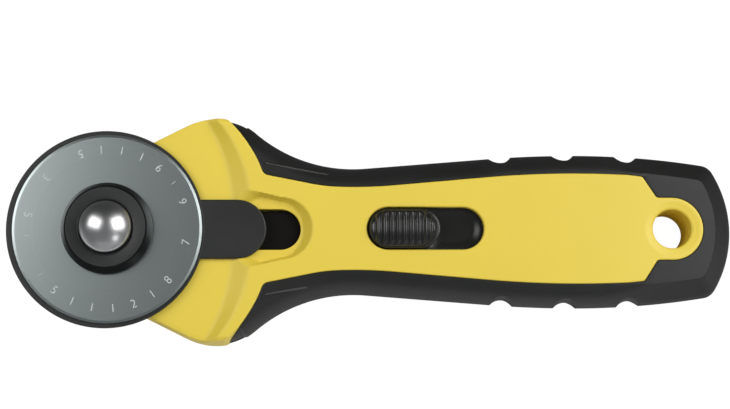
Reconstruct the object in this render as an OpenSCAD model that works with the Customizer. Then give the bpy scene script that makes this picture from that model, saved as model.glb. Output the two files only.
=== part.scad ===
// Rotary cutter with a round blade, a sliding blade guard and a two-shell handle.
// Sizes in millimetres. Built with the blade's axis at x = 0, blade side up (+Z),
// handle towards +X, then moved so that the origin is under the middle of the whole.

/* [Handle outline] */
// Angle that the head's sides open at
flare_a = 26.565; // [25:0.005:28]
// Distance from the blade's axis to the head's widest place
shoulder_x = 25.9; // [25.5:0.1:26.3]
// Half of the head's greatest width
shoulder_half = 27.4; // [27.2:0.1:27.8]
// Radius of the shoulder on the blade's side
shoulder_r = 16.5; // [15:0.5:18]
// Distance from the blade's axis to the neck
neck_x = 58.5; // [57.5:0.5:60]
// Half of the neck's width
neck_half = 15.3; // [15:0.1:15.8]
// Radius of the neck's hollow
neck_r = 36; // [35:0.5:37]
// Distance from the blade's axis to the grip's widest place
belly_x = 112; // [110:1:114]
// Half of the grip's greatest width
belly_half = 18.6; // [18.2:0.1:19]
// Radius of the grip's side towards the neck
belly_r = 265; // [255:5:275]
// Radius of the grip's side towards the butt
butt_side_r = 200; // [190:5:220]
// Radius of the butt's corners
corner_r = 3.8; // [3.7:0.1:4.2]
// Radius of the butt's end
end_r = 28; // [27:0.5:30]
// Distance from the blade's axis to the butt's end
end_x = 149.8; // [149:0.1:151]

/* [Handle heights] */
// Height of the handle's front face above its back
front_z = 16; // [15.8:0.1:16.4]
// Height of the plane where the two shells meet
split_z = 8; // [7.9:0.1:8]
// Height of the head's lowered front face
plateau_z = 13.4; // [13.3:0.1:13.4]
// Height of the head's back face
head_back_z = 5.2; // [5.2:0.1:5.3]
// Place where the front starts to fall towards the butt
fall_x = 100; // [98:1:104]
// Radius of that fall
fall_r = 620; // [600:10:700]

/* [Shell walls] */
// Thickness of the rubber on the handle's sides
rubber_t = 2; // [1.9:0.1:2]
// Thickness of the rubber on the handle's faces
rubber_face_t = 1.4; // [1.3:0.1:1.5]
// Thickness of the shells' walls
wall = 1.6; // [1.5:0.1:1.6]
// Radius about the blade's axis where the rubber starts
rubber_start_r = 39.3; // [39:0.1:39.6]
// Depth of the finger notches
notch_depth = 1.3; // [1:0.1:1.4]

/* [Head] */
// Radius of the curve at the step's foot
step_r = 57.7; // [57.6:0.1:58.5]
// Distance from the blade's axis to the step's foot
step_x = 30.7; // [30.7:0.1:31]
// Width of the step's slope
step_w = 4.3; // [3.5:0.1:4.5]
// Half width of the guard's channel at its floor
channel_half = 7.4; // [7.4:0.1:7.6]
// Centre of the channel's round end
channel_x = 38.8; // [38.8:0.1:39.2]

/* [Blade and guard] */
// Blade diameter
blade_d = 45; // [44.5:0.1:45]
// Blade thickness
blade_t = 0.3; // [0.3:0.05:0.3]
// Blade hole diameter
blade_hole_d = 8; // [8:0.1:8.2]
// Guard radius
guard_r = 23.6; // [23.3:0.1:23.7]
// Guard thickness
guard_t = 1.2; // [1.1:0.05:1.2]
// Half width of the guard's tongue
tongue_half = 7.1; // [6.9:0.1:7.1]
// How far the guard slides back
travel = 8; // [7:0.5:8]

/* [Hub] */
// Diameter of the bolt's shank
bolt_d = 5; // [4.9:0.1:5]
// Diameter of the bolt's domed head
dome_d = 12.3; // [12:0.1:12.5]
// Height of the bolt's head under its dome
head_rim_h = 2.9; // [2.5:0.1:3]
// Height of the bolt's dome
dome_h = 3; // [2.8:0.1:3.4]
// Diameter of the holding plate
hub_d = 21.8; // [21.6:0.1:22]
// Thickness of the holding plate
hub_t = 3.75; // [3.5:0.05:4]

/* [Thumb slide] */
// Left end of the thumb slot
thumb_slot_x0 = 61.7; // [61.5:0.1:61.8]
// Right end of the thumb slot
thumb_slot_x1 = 89.6; // [89.5:0.1:90]
// Half width of the thumb slot
thumb_slot_half = 5.07; // [5:0.01:5.1]
// Length of the thumb button
button_l = 17; // [16.8:0.1:17.2]
// Width of the thumb button
button_w = 9.4; // [9.2:0.1:9.4]

/* [Hanging hole] */
// Distance from the blade's axis to the hanging hole
hang_x = 134.7; // [134:0.1:135]
// Diameter of the hanging hole
hang_d = 9.3; // [9:0.1:9.5]

/* [Hidden] */
$fn = 96;

yellow = [0.89, 0.80, 0.30];
black_rubber = [0.16, 0.16, 0.15];
black_plastic = [0.22, 0.22, 0.21];
steel = [0.62, 0.64, 0.65];
bright_steel = [0.82, 0.83, 0.84];
brass = [0.78, 0.62, 0.30];

eps = 0.01;
run_gap = 0.05;     // radial gap of a piece that turns on another
side_gap = 0.2;     // gap between the sliding pieces and the handle

// Places where the outline's arcs meet, each tangent to the next
nose_r = shoulder_r * (1 - cos(flare_a)) - shoulder_x * sin(flare_a) + shoulder_half * cos(flare_a);
neck_c = [neck_x, neck_half + neck_r];
neck_rise = neck_c[1] - shoulder_half;
throat_r = (pow(neck_x - shoulder_x, 2) + neck_rise * neck_rise - neck_r * neck_r)
           / (2 * (neck_r - neck_rise));
throat_a = atan2(neck_rise + throat_r, neck_x - shoulder_x);
belly_c = [belly_x, belly_half - belly_r];
neck_to_belly = neck_c - belly_c;
grip_a = atan2(neck_to_belly[1], neck_to_belly[0]) - 90 - acos((belly_r + neck_r) / norm(neck_to_belly));
butt_c = [belly_x, belly_half - butt_side_r];
end_c = [end_x - end_r, 0];
guard_x = -0.45;
centre_x = (end_x + guard_x - guard_r) / 2;

// Heights and places that follow from the driving sizes
skin_z = front_z - rubber_face_t;           // shell face under the rubber
ceiling_z = skin_z - wall;                  // inside of the front shell
floor_z = rubber_face_t + wall;             // inside of the back shell
guard_z = plateau_z + side_gap;
seat_z = guard_z + guard_t + 0.25;          // face of the bush that carries the blade
blade_z = seat_z + run_gap;
hub_z = blade_z + blade_t + run_gap;
bolt_head_z = hub_z + 2;
bolt_end_z = 1.2;
bolt_hole_d = bolt_d + 0.2;
tongue_x = 30.7;                            // centre of the tongue's round end
slide_slot_half = 4.9;
slide_slot_x0 = 21.5;
slide_slot_x1 = tongue_x + tongue_half + travel + 0.15;
bar_z = 9.4;                                // underside of the carriage
bar_top_z = plateau_z - 1.8;
lid_x = [52.5, 91.5];                       // ends of the plate under the thumb slot
lid_half = 6.4;
lid_z = front_z - 2;
button_x = thumb_slot_x0 + 0.5 + button_l / 2;
button_top_z = front_z + 2.2;
notches = [94.4, 109.8, 125];
notch_r = 3.3;
head_screw_at = [[27, 19], [27, -19]];
handle_screw_at = [[106, 0], [124, 7], [124, -7]];
screw_post_r = 4.2;
shell_pilot_r = 1.3;                        // hole that a shell screw bites into
shell_clear_r = 1.6;                        // hole that a shell screw passes through
head_sink_r = 2.7;                          // sinks for the screws' heads
handle_sink_r = 2.9;
head_sink_z = 7.2;
handle_sink_z = 2.8;
guard_screw_x = [27, 33];
small_pilot_r = 1;
small_clear_r = 1.3;
bush_r = 5.5;                               // part of the bush inside the guard's long hole
nut_z = [0.6, 4];                           // bottom and top of the finger nut
insert_r = 4;
detent_x = 84;                              // place of the leaf spring's bump
// The rubber skin's rounding: [share of the height from the split to the face, inset] pairs
grip_levels = [[0, 0], [0.27, 0.3], [0.5, 0.9], [0.7, 1.8], [0.85, 3], [0.95, 4.3], [1, 5.3]];

// Height of the front face at x
function front_at(x) = front_z - pow(max(0, x - fall_x), 2) / (2 * fall_r);
// Height of the back face at x: high under the head, flat under the grip, lifted at the butt
function back_at(x) =
    x < 30 ? head_back_z :
    x < 50 ? head_back_z * (1 + cos(9 * (x - 30))) / 2 :
    pow(max(0, x - 136), 2) / 150;

// Angle of a vector
function direction(v) = atan2(v[1], v[0]);
// Point at distances r1 from c1 and r2 from c2, on the right of the line from c1 to c2
function meeting(c1, r1, c2, r2) =
    let (d = norm(c2 - c1), u = (c2 - c1) / d, a = (r1 * r1 - r2 * r2 + d * d) / (2 * d))
    c1 + a * u + sqrt(r1 * r1 - a * a) * [u[1], -u[0]];
// Points of an arc from angle a0 to angle a1
function arc(c, r, a0, a1, n) =
    [for (i = [0:n]) let (a = a0 + (a1 - a0) * i / n) c + r * [cos(a), sin(a)]];
// A half outline, from its first point on the axis to its last, closed by its mirror image
function closed(half) =
    concat(half, [for (i = [len(half) - 2:-1:1]) [half[i][0], -half[i][1]]]);

// Upper half of the handle's outline, moved in by d. The butt's corner stays rounder than d would leave it.
function handle_half(d) =
    let (round_r = corner_r - 0.28 * d,
         corner_c = meeting(butt_c, butt_side_r - d - round_r, end_c, end_r - d - round_r),
         butt_a = direction(corner_c - butt_c),
         end_a = direction(corner_c - end_c))
    concat(
    arc([0, 0], nose_r - d, 180, 90 + flare_a, 8),
    arc([shoulder_x, shoulder_half - shoulder_r], shoulder_r - d, 90 + flare_a, 90, 5),
    arc([shoulder_x, shoulder_half - throat_r], throat_r - d, 85, throat_a, 6),
    arc(neck_c, neck_r + d, 184 + throat_a, 270 + grip_a, 9),
    arc(belly_c, belly_r - d, 90 + grip_a, 90, 4),
    arc(butt_c, butt_side_r - d, 89, butt_a, 6),
    arc(corner_c, round_r, butt_a - 8, end_a, 5),
    arc(end_c, end_r - d, end_a - 5, 0, 5));
// Upper half of the hard-plastic panel that the rubber frames
panel_half = concat(
    [[20, 0], [20, 16.45]],
    arc([56.26, 49.99], 40, 258.7, 267, 3),
    arc([58.7, 119.95], 110, 268, 275, 4),
    arc([112, -236.76], 250, 95, 86.83, 8),
    [[127, 12.5], [130.9, 7.47]],
    arc([hang_x + 0.1, 0], 7.47, 90, 0, 8));

module handle_plan(d = 0) {
    polygon(closed(handle_half(d)));
}

module head_plan() {
    intersection() {
        handle_plan();
        circle(r = rubber_start_r);
    }
}

module panel_plan() {
    head_plan();
    polygon(closed(panel_half));
}

module core_plan() {
    head_plan();
    handle_plan(rubber_t);
}

// Everything between the back face and the front face, as seen from the side
module side_profile() {
    steps = [for (x = [-20:2:152]) x];
    rotate([90, 0, 0])
        linear_extrude(70, center = true)
            polygon(concat([for (x = steps) [x, back_at(x)]],
                           [for (i = [len(steps) - 1:-1:0]) [steps[i], front_at(steps[i])]]));
}

// A plan shape raised from z0 to z1, and kept between the handle's faces moved up by shift
module between_faces(z0, z1, shift = 0) {
    intersection() {
        translate([0, 0, z0])
            linear_extrude(z1 - z0)
                children();
        translate([0, 0, shift])
            side_profile();
    }
}

// A round-ended slot along X, cut from z0 to z1
module long_hole(x0, x1, half, z0, z1) {
    for (x = [x0 + half, x1 - half])
        translate([x, 0, z0])
            cylinder(r = half, h = z1 - z0);
    translate([x0 + half, -half, z0])
        cube([x1 - x0 - 2 * half, 2 * half, z1 - z0]);
}

module block(x0, x1, half, z0, z1) {
    translate([x0, -half, z0])
        cube([x1 - x0, 2 * half, z1 - z0]);
}

module post(at, r, z0, z1) {
    translate([at[0], at[1], z0])
        cylinder(r = r, h = z1 - z0);
}

// The shells' hollow inside the grip, from z0 to z1, round the screw posts and the hanging hole
module grip_hollow(z0, z1, x1) {
    difference() {
        intersection() {
            translate([0, 0, z0])
                linear_extrude(z1 - z0)
                    handle_plan(rubber_t + wall);
            block(48, x1, 40, z0, z1);
        }
        for (at = handle_screw_at)
            post(at, screw_post_r, z0 - 1, z1 + 1);
        post([hang_x, 0], hang_d / 2 + 2 * wall, z0 - 1, z1 + 1);
    }
}

// Lowered front of the head: a flat round floor with a sloping step round it
module head_step() {
    translate([step_x - step_r, 0, plateau_z])
        cylinder(r1 = step_r, r2 = step_r + step_w, h = front_z - plateau_z + eps);
}

// Channel for the guard's tongue, with sloping sides and a round sloping end
module guard_channel() {
    depth = front_z - plateau_z + eps;
    slope = 1.2;
    translate([channel_x, 0, plateau_z])
        cylinder(r1 = channel_half, r2 = channel_half + slope, h = depth);
    translate([step_x - 4, 0, plateau_z])
        rotate([90, 0, 90])
            linear_extrude(channel_x - step_x + 4)
                polygon([[-channel_half, 0], [channel_half, 0],
                         [channel_half + slope, depth], [-channel_half - slope, depth]]);
}

module front_shell() {
    color(yellow)
    difference() {
        union() {
            between_faces(split_z, front_z, -rubber_face_t)
                core_plan();
            between_faces(split_z, front_z)
                panel_plan();
            between_faces(0, front_z)
                translate([hang_x, 0])
                    circle(r = hang_d / 2 + wall);
        }
        head_step();
        guard_channel();
        grip_hollow(split_z - eps, ceiling_z, 112);
        grip_hollow(split_z - eps, ceiling_z - 2.2, 146);
        block(slide_slot_x0 - 2, 49, slide_slot_half + 0.6, split_z - eps, bar_top_z + side_gap);
        block(lid_x[0] - 1.5, lid_x[1] + travel + 1.5, lid_half + 0.3, split_z - eps, lid_z + side_gap);
        long_hole(slide_slot_x0, slide_slot_x1, slide_slot_half, split_z, front_z);
        long_hole(thumb_slot_x0, thumb_slot_x1, thumb_slot_half, split_z, front_z + 1);
        post([0, 0], bolt_hole_d / 2, 0, front_z);
        post([hang_x, 0], hang_d / 2, -1, front_z + 1);
        for (at = concat(head_screw_at, handle_screw_at))
            post(at, shell_pilot_r, split_z - eps, split_z + 4.4);
    }
}

module back_shell() {
    color(yellow)
    difference() {
        union() {
            between_faces(0, split_z, rubber_face_t)
                core_plan();
            between_faces(0, split_z)
                panel_plan();
        }
        difference() {
            grip_hollow(floor_z, split_z + eps, 146);
            // Rib that the leaf spring rides on
            block(60, 100, 3, 0, split_z);
        }
        // Two notches that hold the slide at its ends
        for (x = [detent_x, detent_x + travel])
            translate([x, 0, split_z])
                rotate([90, 45, 0])
                    cube([1.2, 1.2, 7], center = true);
        post([0, 0], bolt_hole_d / 2, 0, split_z + 1);
        post([hang_x, 0], hang_d / 2 + wall, -1, split_z + 1);
        for (at = concat(head_screw_at, handle_screw_at))
            post(at, shell_clear_r, -1, split_z + 1);
        for (at = head_screw_at)
            post(at, head_sink_r, -1, head_sink_z);
        for (at = handle_screw_at)
            post(at, handle_sink_r, -1, handle_sink_z);
    }
}

// One rounded skin round the handle. levels holds [part of the height from the split, inset] pairs,
// and face(x) is the height that the skin reaches at x, up or down from the split.
module rounded_skin(levels, up) {
    rings = [for (level = levels)
        [for (p = closed(handle_half(level[1])))
            let (face = up ? front_at(p[0]) - 0.2 : back_at(p[0]))
            [p[0], p[1], split_z + level[0] * (face - split_z)]]];
    n = len(rings[0]);
    last = len(rings) - 1;
    half = n / 2;
    walls = [for (k = [0:last - 1]) for (i = [0:n - 1])
        let (a = k * n + i, b = k * n + (i + 1) % n)
        each [[a, b, b + n], [a, b + n, a + n]]];
    // The caps are strips across the handle, from one side to the other
    caps = [for (k = [0, last]) for (i = [0:half - 1])
        let (a = k * n + i, b = k * n + i + 1,
             c = k * n + (n - i - 1), d = k * n + (n - i) % n,
             strip = i == 0 ? [[a, b, c]] : i == half - 1 ? [[a, b, d]] : [[a, b, c], [a, c, d]])
        each k == 0 ? [for (t = strip) [t[2], t[1], t[0]]] : strip];
    faces = concat(walls, caps);
    polyhedron([for (ring = rings) each ring],
               up ? faces : [for (f = faces) [f[2], f[1], f[0]]]);
}

// What the shells take up inside the rubber: the head, the panel, and the core moved up by shift
module shell_space(shift) {
    post([0, 0], rubber_start_r, -1, front_z + 1);
    translate([0, 0, -1])
        linear_extrude(front_z + 2)
            polygon(closed(panel_half));
    between_faces(-1, front_z + 2, shift)
        handle_plan(rubber_t);
}

module finger_notches() {
    for (x = notches, side = [-1, 1])
        let (half = belly_c[1] + sqrt(belly_r * belly_r - pow(x - belly_x, 2)))
            post([x, side * (half - notch_depth + notch_r)], notch_r, -1, front_z + 1);
}

module grip_front() {
    color(black_rubber)
    difference() {
        rounded_skin(grip_levels, true);
        shell_space(-rubber_face_t);
        finger_notches();
    }
}

module grip_back() {
    color(black_rubber)
    difference() {
        rounded_skin(grip_levels, false);
        shell_space(rubber_face_t);
        finger_notches();
    }
}

module guard() {
    stem_x = [22, tongue_x + tongue_half - 0.1];
    slot_half = bush_r + 0.25;
    color(black_plastic)
    difference() {
        union() {
            translate([guard_x, 0, guard_z])
                cylinder(r = guard_r, h = guard_t);
            block(0, tongue_x, tongue_half, guard_z, guard_z + guard_t);
            post([tongue_x, 0], tongue_half, guard_z, guard_z + guard_t);
            long_hole(stem_x[0], stem_x[1], slide_slot_half - 0.3, bar_top_z, guard_z + eps);
        }
        long_hole(-travel - slot_half, slot_half, slot_half, guard_z - 1, front_z);
        for (x = guard_screw_x)
            post([x, 0], small_pilot_r, bar_top_z - 1, guard_z + 0.4);
    }
}

module slide_carriage() {
    color(black_plastic)
    difference() {
        union() {
            long_hole(21, 60, slide_slot_half - 0.3, bar_z, bar_top_z);
            block(50, lid_x[1], slide_slot_half - 0.3, bar_z, bar_top_z);
            block(lid_x[0], lid_x[1], slide_slot_half - 0.3, bar_z, lid_z);
            block(lid_x[0], lid_x[1], lid_half, lid_z - 1.4, lid_z);
        }
        for (x = guard_screw_x)
            post([x, 0], small_clear_r, bar_z - 1, bar_top_z + 1);
        post([button_x, 0], small_clear_r, bar_z - 1, lid_z + 1);
        post([button_x, 0], 2.2, bar_z - 1, bar_z + 1.3);
    }
}

module thumb_button() {
    rib_pitch = 1.6;
    ribs = 8;
    crown_r = 30;
    color(black_plastic)
    difference() {
        intersection() {
            long_hole(button_x - button_l / 2, button_x + button_l / 2, button_w / 2, lid_z, button_top_z);
            translate([button_x, 0, button_top_z - crown_r])
                rotate([90, 0, 0])
                    cylinder(r = crown_r, h = button_w + 1, center = true);
        }
        for (i = [0:ribs])
            translate([button_x + (i - ribs / 2) * rib_pitch, 0, button_top_z + 0.1])
                rotate([90, 0, 0])
                    cylinder(d = 1, h = button_w + 1, center = true, $fn = 24);
        post([button_x, 0], small_pilot_r, lid_z - 1, front_z);
    }
}

module detent_spring() {
    leaf_t = 0.3;
    bump_z = split_z + 0.2;
    x0 = detent_x - 7;
    x1 = detent_x;
    color(steel)
    rotate([90, 0, 0])
        linear_extrude(4, center = true)
            polygon([[x0, bar_z], [x0, bar_z - leaf_t], [x0 + 2, bar_z - leaf_t], [x1 - 0.6, bump_z],
                     [x1 + 0.6, bump_z], [x1 + 2.4, bar_z - 0.5], [x1 + 2.4, bar_z - 0.2],
                     [x1 + 0.4, bump_z + leaf_t], [x1 - 0.5, bump_z + leaf_t], [x0 + 2.2, bar_z]]);
}

// A pan-head screw with its tip up: head height, head radius, shank radius and whole length
module screw(at, z0, head_h, head_r, shank_r, length) {
    difference() {
        union() {
            post(at, head_r, z0, z0 + head_h);
            post(at, shank_r, z0 + eps, z0 + length);
        }
        translate([at[0], at[1], z0])
            for (turn = [0, 90])
                rotate(turn)
                    cube([1.6 * head_r, 0.25 * head_r, 0.8 * head_h], center = true);
    }
}

module guard_screws() {
    color(steel)
    for (x = guard_screw_x)
        screw([x, 0], bar_z - 1.1, 1.1, 1.9, small_pilot_r, 5);
}

module button_screw() {
    color(steel)
    screw([button_x, 0], bar_z + 0.05, 1.2, 2, small_pilot_r, 6);
}

module head_screws() {
    color(steel)
    for (at = head_screw_at)
        screw(at, head_sink_z - 1.6, 1.6, 2.5, shell_pilot_r, 6.4);
}

module handle_screws() {
    color(steel)
    for (at = handle_screw_at)
        screw(at, handle_sink_z - 1.9, 1.9, 2.7, shell_pilot_r, 11.2);
}

module blade() {
    edge = 1;
    r = blade_d / 2;
    color(bright_steel)
    translate([0, 0, blade_z])
        rotate_extrude($fn = 180)
            polygon([[blade_hole_d / 2, 0], [r - edge, 0], [r, blade_t / 2],
                     [r - edge, blade_t], [blade_hole_d / 2, blade_t]]);
}

module blade_bush() {
    color(steel)
    difference() {
        union() {
            post([0, 0], bush_r, plateau_z, seat_z);
            post([0, 0], blade_hole_d / 2 - run_gap, seat_z - eps, hub_z);
        }
        post([0, 0], bolt_hole_d / 2, plateau_z - 1, hub_z + 1);
    }
}

module hub_washer() {
    bevel_w = 1.1;
    bevel_h = 2;
    color(black_plastic)
    difference() {
        union() {
            post([0, 0], hub_d / 2, hub_z, hub_z + hub_t - bevel_h);
            translate([0, 0, hub_z + hub_t - bevel_h])
                cylinder(r1 = hub_d / 2, r2 = hub_d / 2 - bevel_w, h = bevel_h);
        }
        post([0, 0], bolt_hole_d / 2, hub_z - 1, hub_z + hub_t + 1);
        post([0, 0], dome_d / 2 + 0.3, bolt_head_z, hub_z + hub_t + 1);
    }
}

module pivot_bolt() {
    dome_r = (pow(dome_d / 2, 2) + dome_h * dome_h) / (2 * dome_h);
    flat_half = 2.1;
    color(bright_steel) {
        post([0, 0], dome_d / 2, bolt_head_z, bolt_head_z + head_rim_h);
        intersection() {
            translate([0, 0, bolt_head_z + head_rim_h + dome_h - dome_r])
                sphere(r = dome_r);
            post([0, 0], dome_d / 2, bolt_head_z + head_rim_h, front_z + 9);
        }
        difference() {
            post([0, 0], bolt_d / 2, bolt_end_z, bolt_head_z + eps);
            for (side = [-1, 1])
                translate([-bolt_d, side > 0 ? flat_half : -flat_half - bolt_d, 4.3])
                    cube([2 * bolt_d, bolt_d, 3]);
        }
    }
}

module keyed_washer() {
    color(steel)
    translate([0, 0, head_back_z - 0.6])
        linear_extrude(0.6)
            difference() {
                circle(d = 14);
                intersection() {
                    circle(d = bolt_hole_d);
                    square([bolt_hole_d + 1, 4.3], center = true);
                }
            }
}

module spring_washer() {
    inner = 3;
    outer = 6.4;
    thick = 0.3;
    rise = 0.2;
    color(steel)
    translate([0, 0, head_back_z - 0.6 - thick - rise])
        rotate_extrude()
            polygon([[inner, rise], [outer, 0], [outer, thick], [inner, rise + thick]]);
}

module lock_nut() {
    lobes = 12;
    rim_r = 8.6;
    color(black_plastic)
    difference() {
        union() {
            post([0, 0], rim_r, nut_z[0], nut_z[1]);
            for (i = [0:lobes - 1])
                rotate(i * 360 / lobes)
                    post([rim_r, 0], 1.1, nut_z[0], nut_z[1] - 0.6);
        }
        post([0, 0], insert_r, nut_z[0] - 1, nut_z[1] + 1);
    }
}

module nut_insert() {
    color(brass)
    difference() {
        post([0, 0], insert_r, nut_z[0] + 0.3, nut_z[1]);
        post([0, 0], bolt_d / 2 + run_gap, nut_z[0] - 1, nut_z[1] + 1);
    }
}

// Moves a piece from the blade's axis to the part's own frame
module place() {
    translate([-centre_x, 0, 0])
        children();
}

place() front_shell();
place() back_shell();
place() grip_front();
place() grip_back();
place() guard();
place() slide_carriage();
place() thumb_button();
place() detent_spring();
place() guard_screws();
place() button_screw();
place() blade();
place() blade_bush();
place() hub_washer();
place() pivot_bolt();
place() keyed_washer();
place() spring_washer();
place() lock_nut();
place() nut_insert();
place() head_screws();
place() handle_screws();
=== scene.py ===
"""Looks of a rotary cutter: a round blade on a yellow and black handle, with a sliding guard."""

import sys

import logging
import math
from contextlib import contextmanager
from dataclasses import dataclass
from enum import Enum
from typing import Callable, Iterator, Sequence

import bmesh
import bpy
from mathutils import Matrix, Vector


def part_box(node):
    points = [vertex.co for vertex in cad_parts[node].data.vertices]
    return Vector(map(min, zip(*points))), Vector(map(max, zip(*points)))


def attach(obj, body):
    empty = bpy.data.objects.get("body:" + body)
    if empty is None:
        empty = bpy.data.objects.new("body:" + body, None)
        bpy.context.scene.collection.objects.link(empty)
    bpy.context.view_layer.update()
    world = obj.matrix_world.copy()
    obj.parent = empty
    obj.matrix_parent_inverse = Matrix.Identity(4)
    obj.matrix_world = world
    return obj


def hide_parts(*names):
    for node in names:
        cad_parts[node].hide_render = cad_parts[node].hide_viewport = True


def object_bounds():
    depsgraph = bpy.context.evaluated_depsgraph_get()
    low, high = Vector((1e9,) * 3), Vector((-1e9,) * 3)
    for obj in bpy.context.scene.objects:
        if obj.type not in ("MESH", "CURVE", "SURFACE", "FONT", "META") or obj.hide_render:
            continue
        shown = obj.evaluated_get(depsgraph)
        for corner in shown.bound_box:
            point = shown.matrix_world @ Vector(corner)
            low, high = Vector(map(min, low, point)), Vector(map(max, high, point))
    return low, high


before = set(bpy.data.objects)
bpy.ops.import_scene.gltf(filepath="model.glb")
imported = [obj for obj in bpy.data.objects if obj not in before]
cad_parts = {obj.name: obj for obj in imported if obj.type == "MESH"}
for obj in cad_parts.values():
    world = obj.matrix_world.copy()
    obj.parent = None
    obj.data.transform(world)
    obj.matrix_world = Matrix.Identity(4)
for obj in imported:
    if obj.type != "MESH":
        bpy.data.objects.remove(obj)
CAD_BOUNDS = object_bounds()

LOG = logging.getLogger("rotary_cutter")
MM = 0.001
SPLIT_Z = 8.0
FRONT_Z = 16.0
PLATEAU_Z = 13.4
HEAD_BACK_Z = 5.2
RUBBER_DROP = 0.2

Point = tuple[float, float]
Plan = list[Point]
Ring = list[tuple[float, float, float]]


# ---------------------------------------------------------------- hand tools


def deselect_all() -> None:
    """Leaves nothing selected."""
    bpy.ops.object.select_all(action="DESELECT")


def activate(obj: bpy.types.Object) -> None:
    """Makes obj the only selected object and the active one.

    Args:
        obj: The object.
    """
    deselect_all()
    obj.select_set(True)
    bpy.context.view_layer.objects.active = obj


@contextmanager
def editing(obj: bpy.types.Object) -> Iterator[None]:
    """Opens obj in edit mode for the lines inside the block.

    Args:
        obj: The object.

    Yields:
        Nothing; it stays in edit mode until the block ends.
    """
    activate(obj)
    bpy.ops.object.mode_set(mode="EDIT")
    yield
    bpy.ops.object.mode_set(mode="OBJECT")


def pick_faces(obj: bpy.types.Object, test: Callable[[bmesh.types.BMFace], bool]) -> None:
    """Selects the faces that pass a test, in edit mode.

    Args:
        obj: The piece that is open in edit mode.
        test: Says whether a face is wanted.
    """
    bpy.ops.mesh.select_mode(type="FACE")
    bpy.ops.mesh.select_all(action="DESELECT")
    for face in bmesh.from_edit_mesh(obj.data).faces:
        if test(face):
            face.select_set(True)
    bmesh.update_edit_mesh(obj.data)


def pick_edges(obj: bpy.types.Object, test: Callable[[bmesh.types.BMEdge], bool]) -> int:
    """Selects the edges that pass a test, in edit mode.

    Args:
        obj: The piece that is open in edit mode.
        test: Says whether an edge is wanted.

    Returns:
        How many edges were selected.
    """
    bpy.ops.mesh.select_mode(type="EDGE")
    bpy.ops.mesh.select_all(action="DESELECT")
    wanted = [edge for edge in bmesh.from_edit_mesh(obj.data).edges if test(edge)]
    for edge in wanted:
        edge.select_set(True)
    bmesh.update_edit_mesh(obj.data)
    return len(wanted)


def middle(edge: bmesh.types.BMEdge) -> Vector:
    """Middle of an edge."""
    return (edge.verts[0].co + edge.verts[1].co) / 2


def is_sharp(edge: bmesh.types.BMEdge, degrees: float = 50.0) -> bool:
    """Says whether two faces meet at an edge by more than an angle."""
    return len(edge.link_faces) == 2 and edge.calc_face_angle(0.0) > math.radians(degrees)


def on_level(edge: bmesh.types.BMEdge, level: float) -> bool:
    """Says whether an edge lies flat at a height."""
    return all(abs(vert.co.z - level) < 0.01 for vert in edge.verts)


def round_edges(
    obj: bpy.types.Object,
    test: Callable[[bmesh.types.BMEdge], bool],
    width: float,
    segments: int = 4,
) -> None:
    """Rounds the edges that pass a test.

    Args:
        obj: The piece.
        test: Says whether an edge is wanted.
        width: How far the rounding reaches from the edge.
        segments: Number of faces across the rounding.
    """
    with editing(obj):
        if pick_edges(obj, test):
            bpy.ops.mesh.bevel(offset=width, segments=segments, profile=0.5, affect="EDGES")


def loft(name: str, rings: Sequence[Ring]) -> bpy.types.Object:
    """Makes a closed solid by extruding a flat face from ring to ring.

    Args:
        name: Name of the piece.
        rings: Rings of equally many points, from one end of the solid to the other.

    Returns:
        The solid.
    """
    deselect_all()
    bpy.ops.mesh.primitive_circle_add(vertices=len(rings[0]), radius=1, fill_type="NGON")
    obj = bpy.context.object
    obj.name = obj.data.name = name
    with editing(obj):
        net = bmesh.from_edit_mesh(obj.data)
        place = net.verts.layers.int.new("place")
        for number, vert in enumerate(net.verts):
            vert[place] = number
            vert.co = rings[0][number]
        bpy.ops.mesh.select_mode(type="FACE")
        bpy.ops.mesh.select_all(action="SELECT")
        for ring in rings[1:]:
            bpy.ops.mesh.extrude_region_move()
            net = bmesh.from_edit_mesh(obj.data)
            place = net.verts.layers.int["place"]
            for vert in net.verts:
                if vert.select:
                    vert.co = ring[vert[place]]
            bmesh.update_edit_mesh(obj.data)
        bpy.ops.mesh.select_all(action="SELECT")
        bpy.ops.mesh.normals_make_consistent(inside=False)
    return obj


def prism(name: str, plan: Plan, low: float, high: float) -> bpy.types.Object:
    """Makes a straight solid from a plan shape, from one height to another."""
    return loft(name, [[(x, y, z) for x, y in plan] for z in (low, high)])


def circle(radius: float, steps: int = 96, centre: Point = (0.0, 0.0)) -> Plan:
    """Points of a circle."""
    return arc(centre, radius, 0, 360 - 360 / steps, steps - 1)


def turned(
    name: str, profile: Sequence[Point], steps: int = 128, closed: bool = False
) -> bpy.types.Object:
    """Makes a turned solid about the blade's axis.

    Args:
        name: Name of the piece.
        profile: (radius, height) pairs along its side.
        steps: Number of faces round the axis.
        closed: True if the profile runs round a bore and back to its start.

    Returns:
        The solid. A radius of 0 at an end closes to a point there.
    """
    points = list(profile) + ([profile[0]] if closed else [])
    rings = [[(x, y, z) for x, y in circle(max(r, 0.001), steps)] for r, z in points]
    obj = loft(name, rings)
    with editing(obj):
        if closed:
            pick_faces(obj, lambda face: len(face.verts) == steps)
            bpy.ops.mesh.delete(type="ONLY_FACE")
            bpy.ops.mesh.select_all(action="SELECT")
            bpy.ops.mesh.remove_doubles(threshold=0.0005)
            bpy.ops.mesh.normals_make_consistent(inside=False)
        elif points[-1][0] == 0:
            pick_faces(obj, lambda face: all(v.co.xy.length < 0.01 for v in face.verts))
            bpy.ops.mesh.merge(type="CENTER")
    return obj


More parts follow.
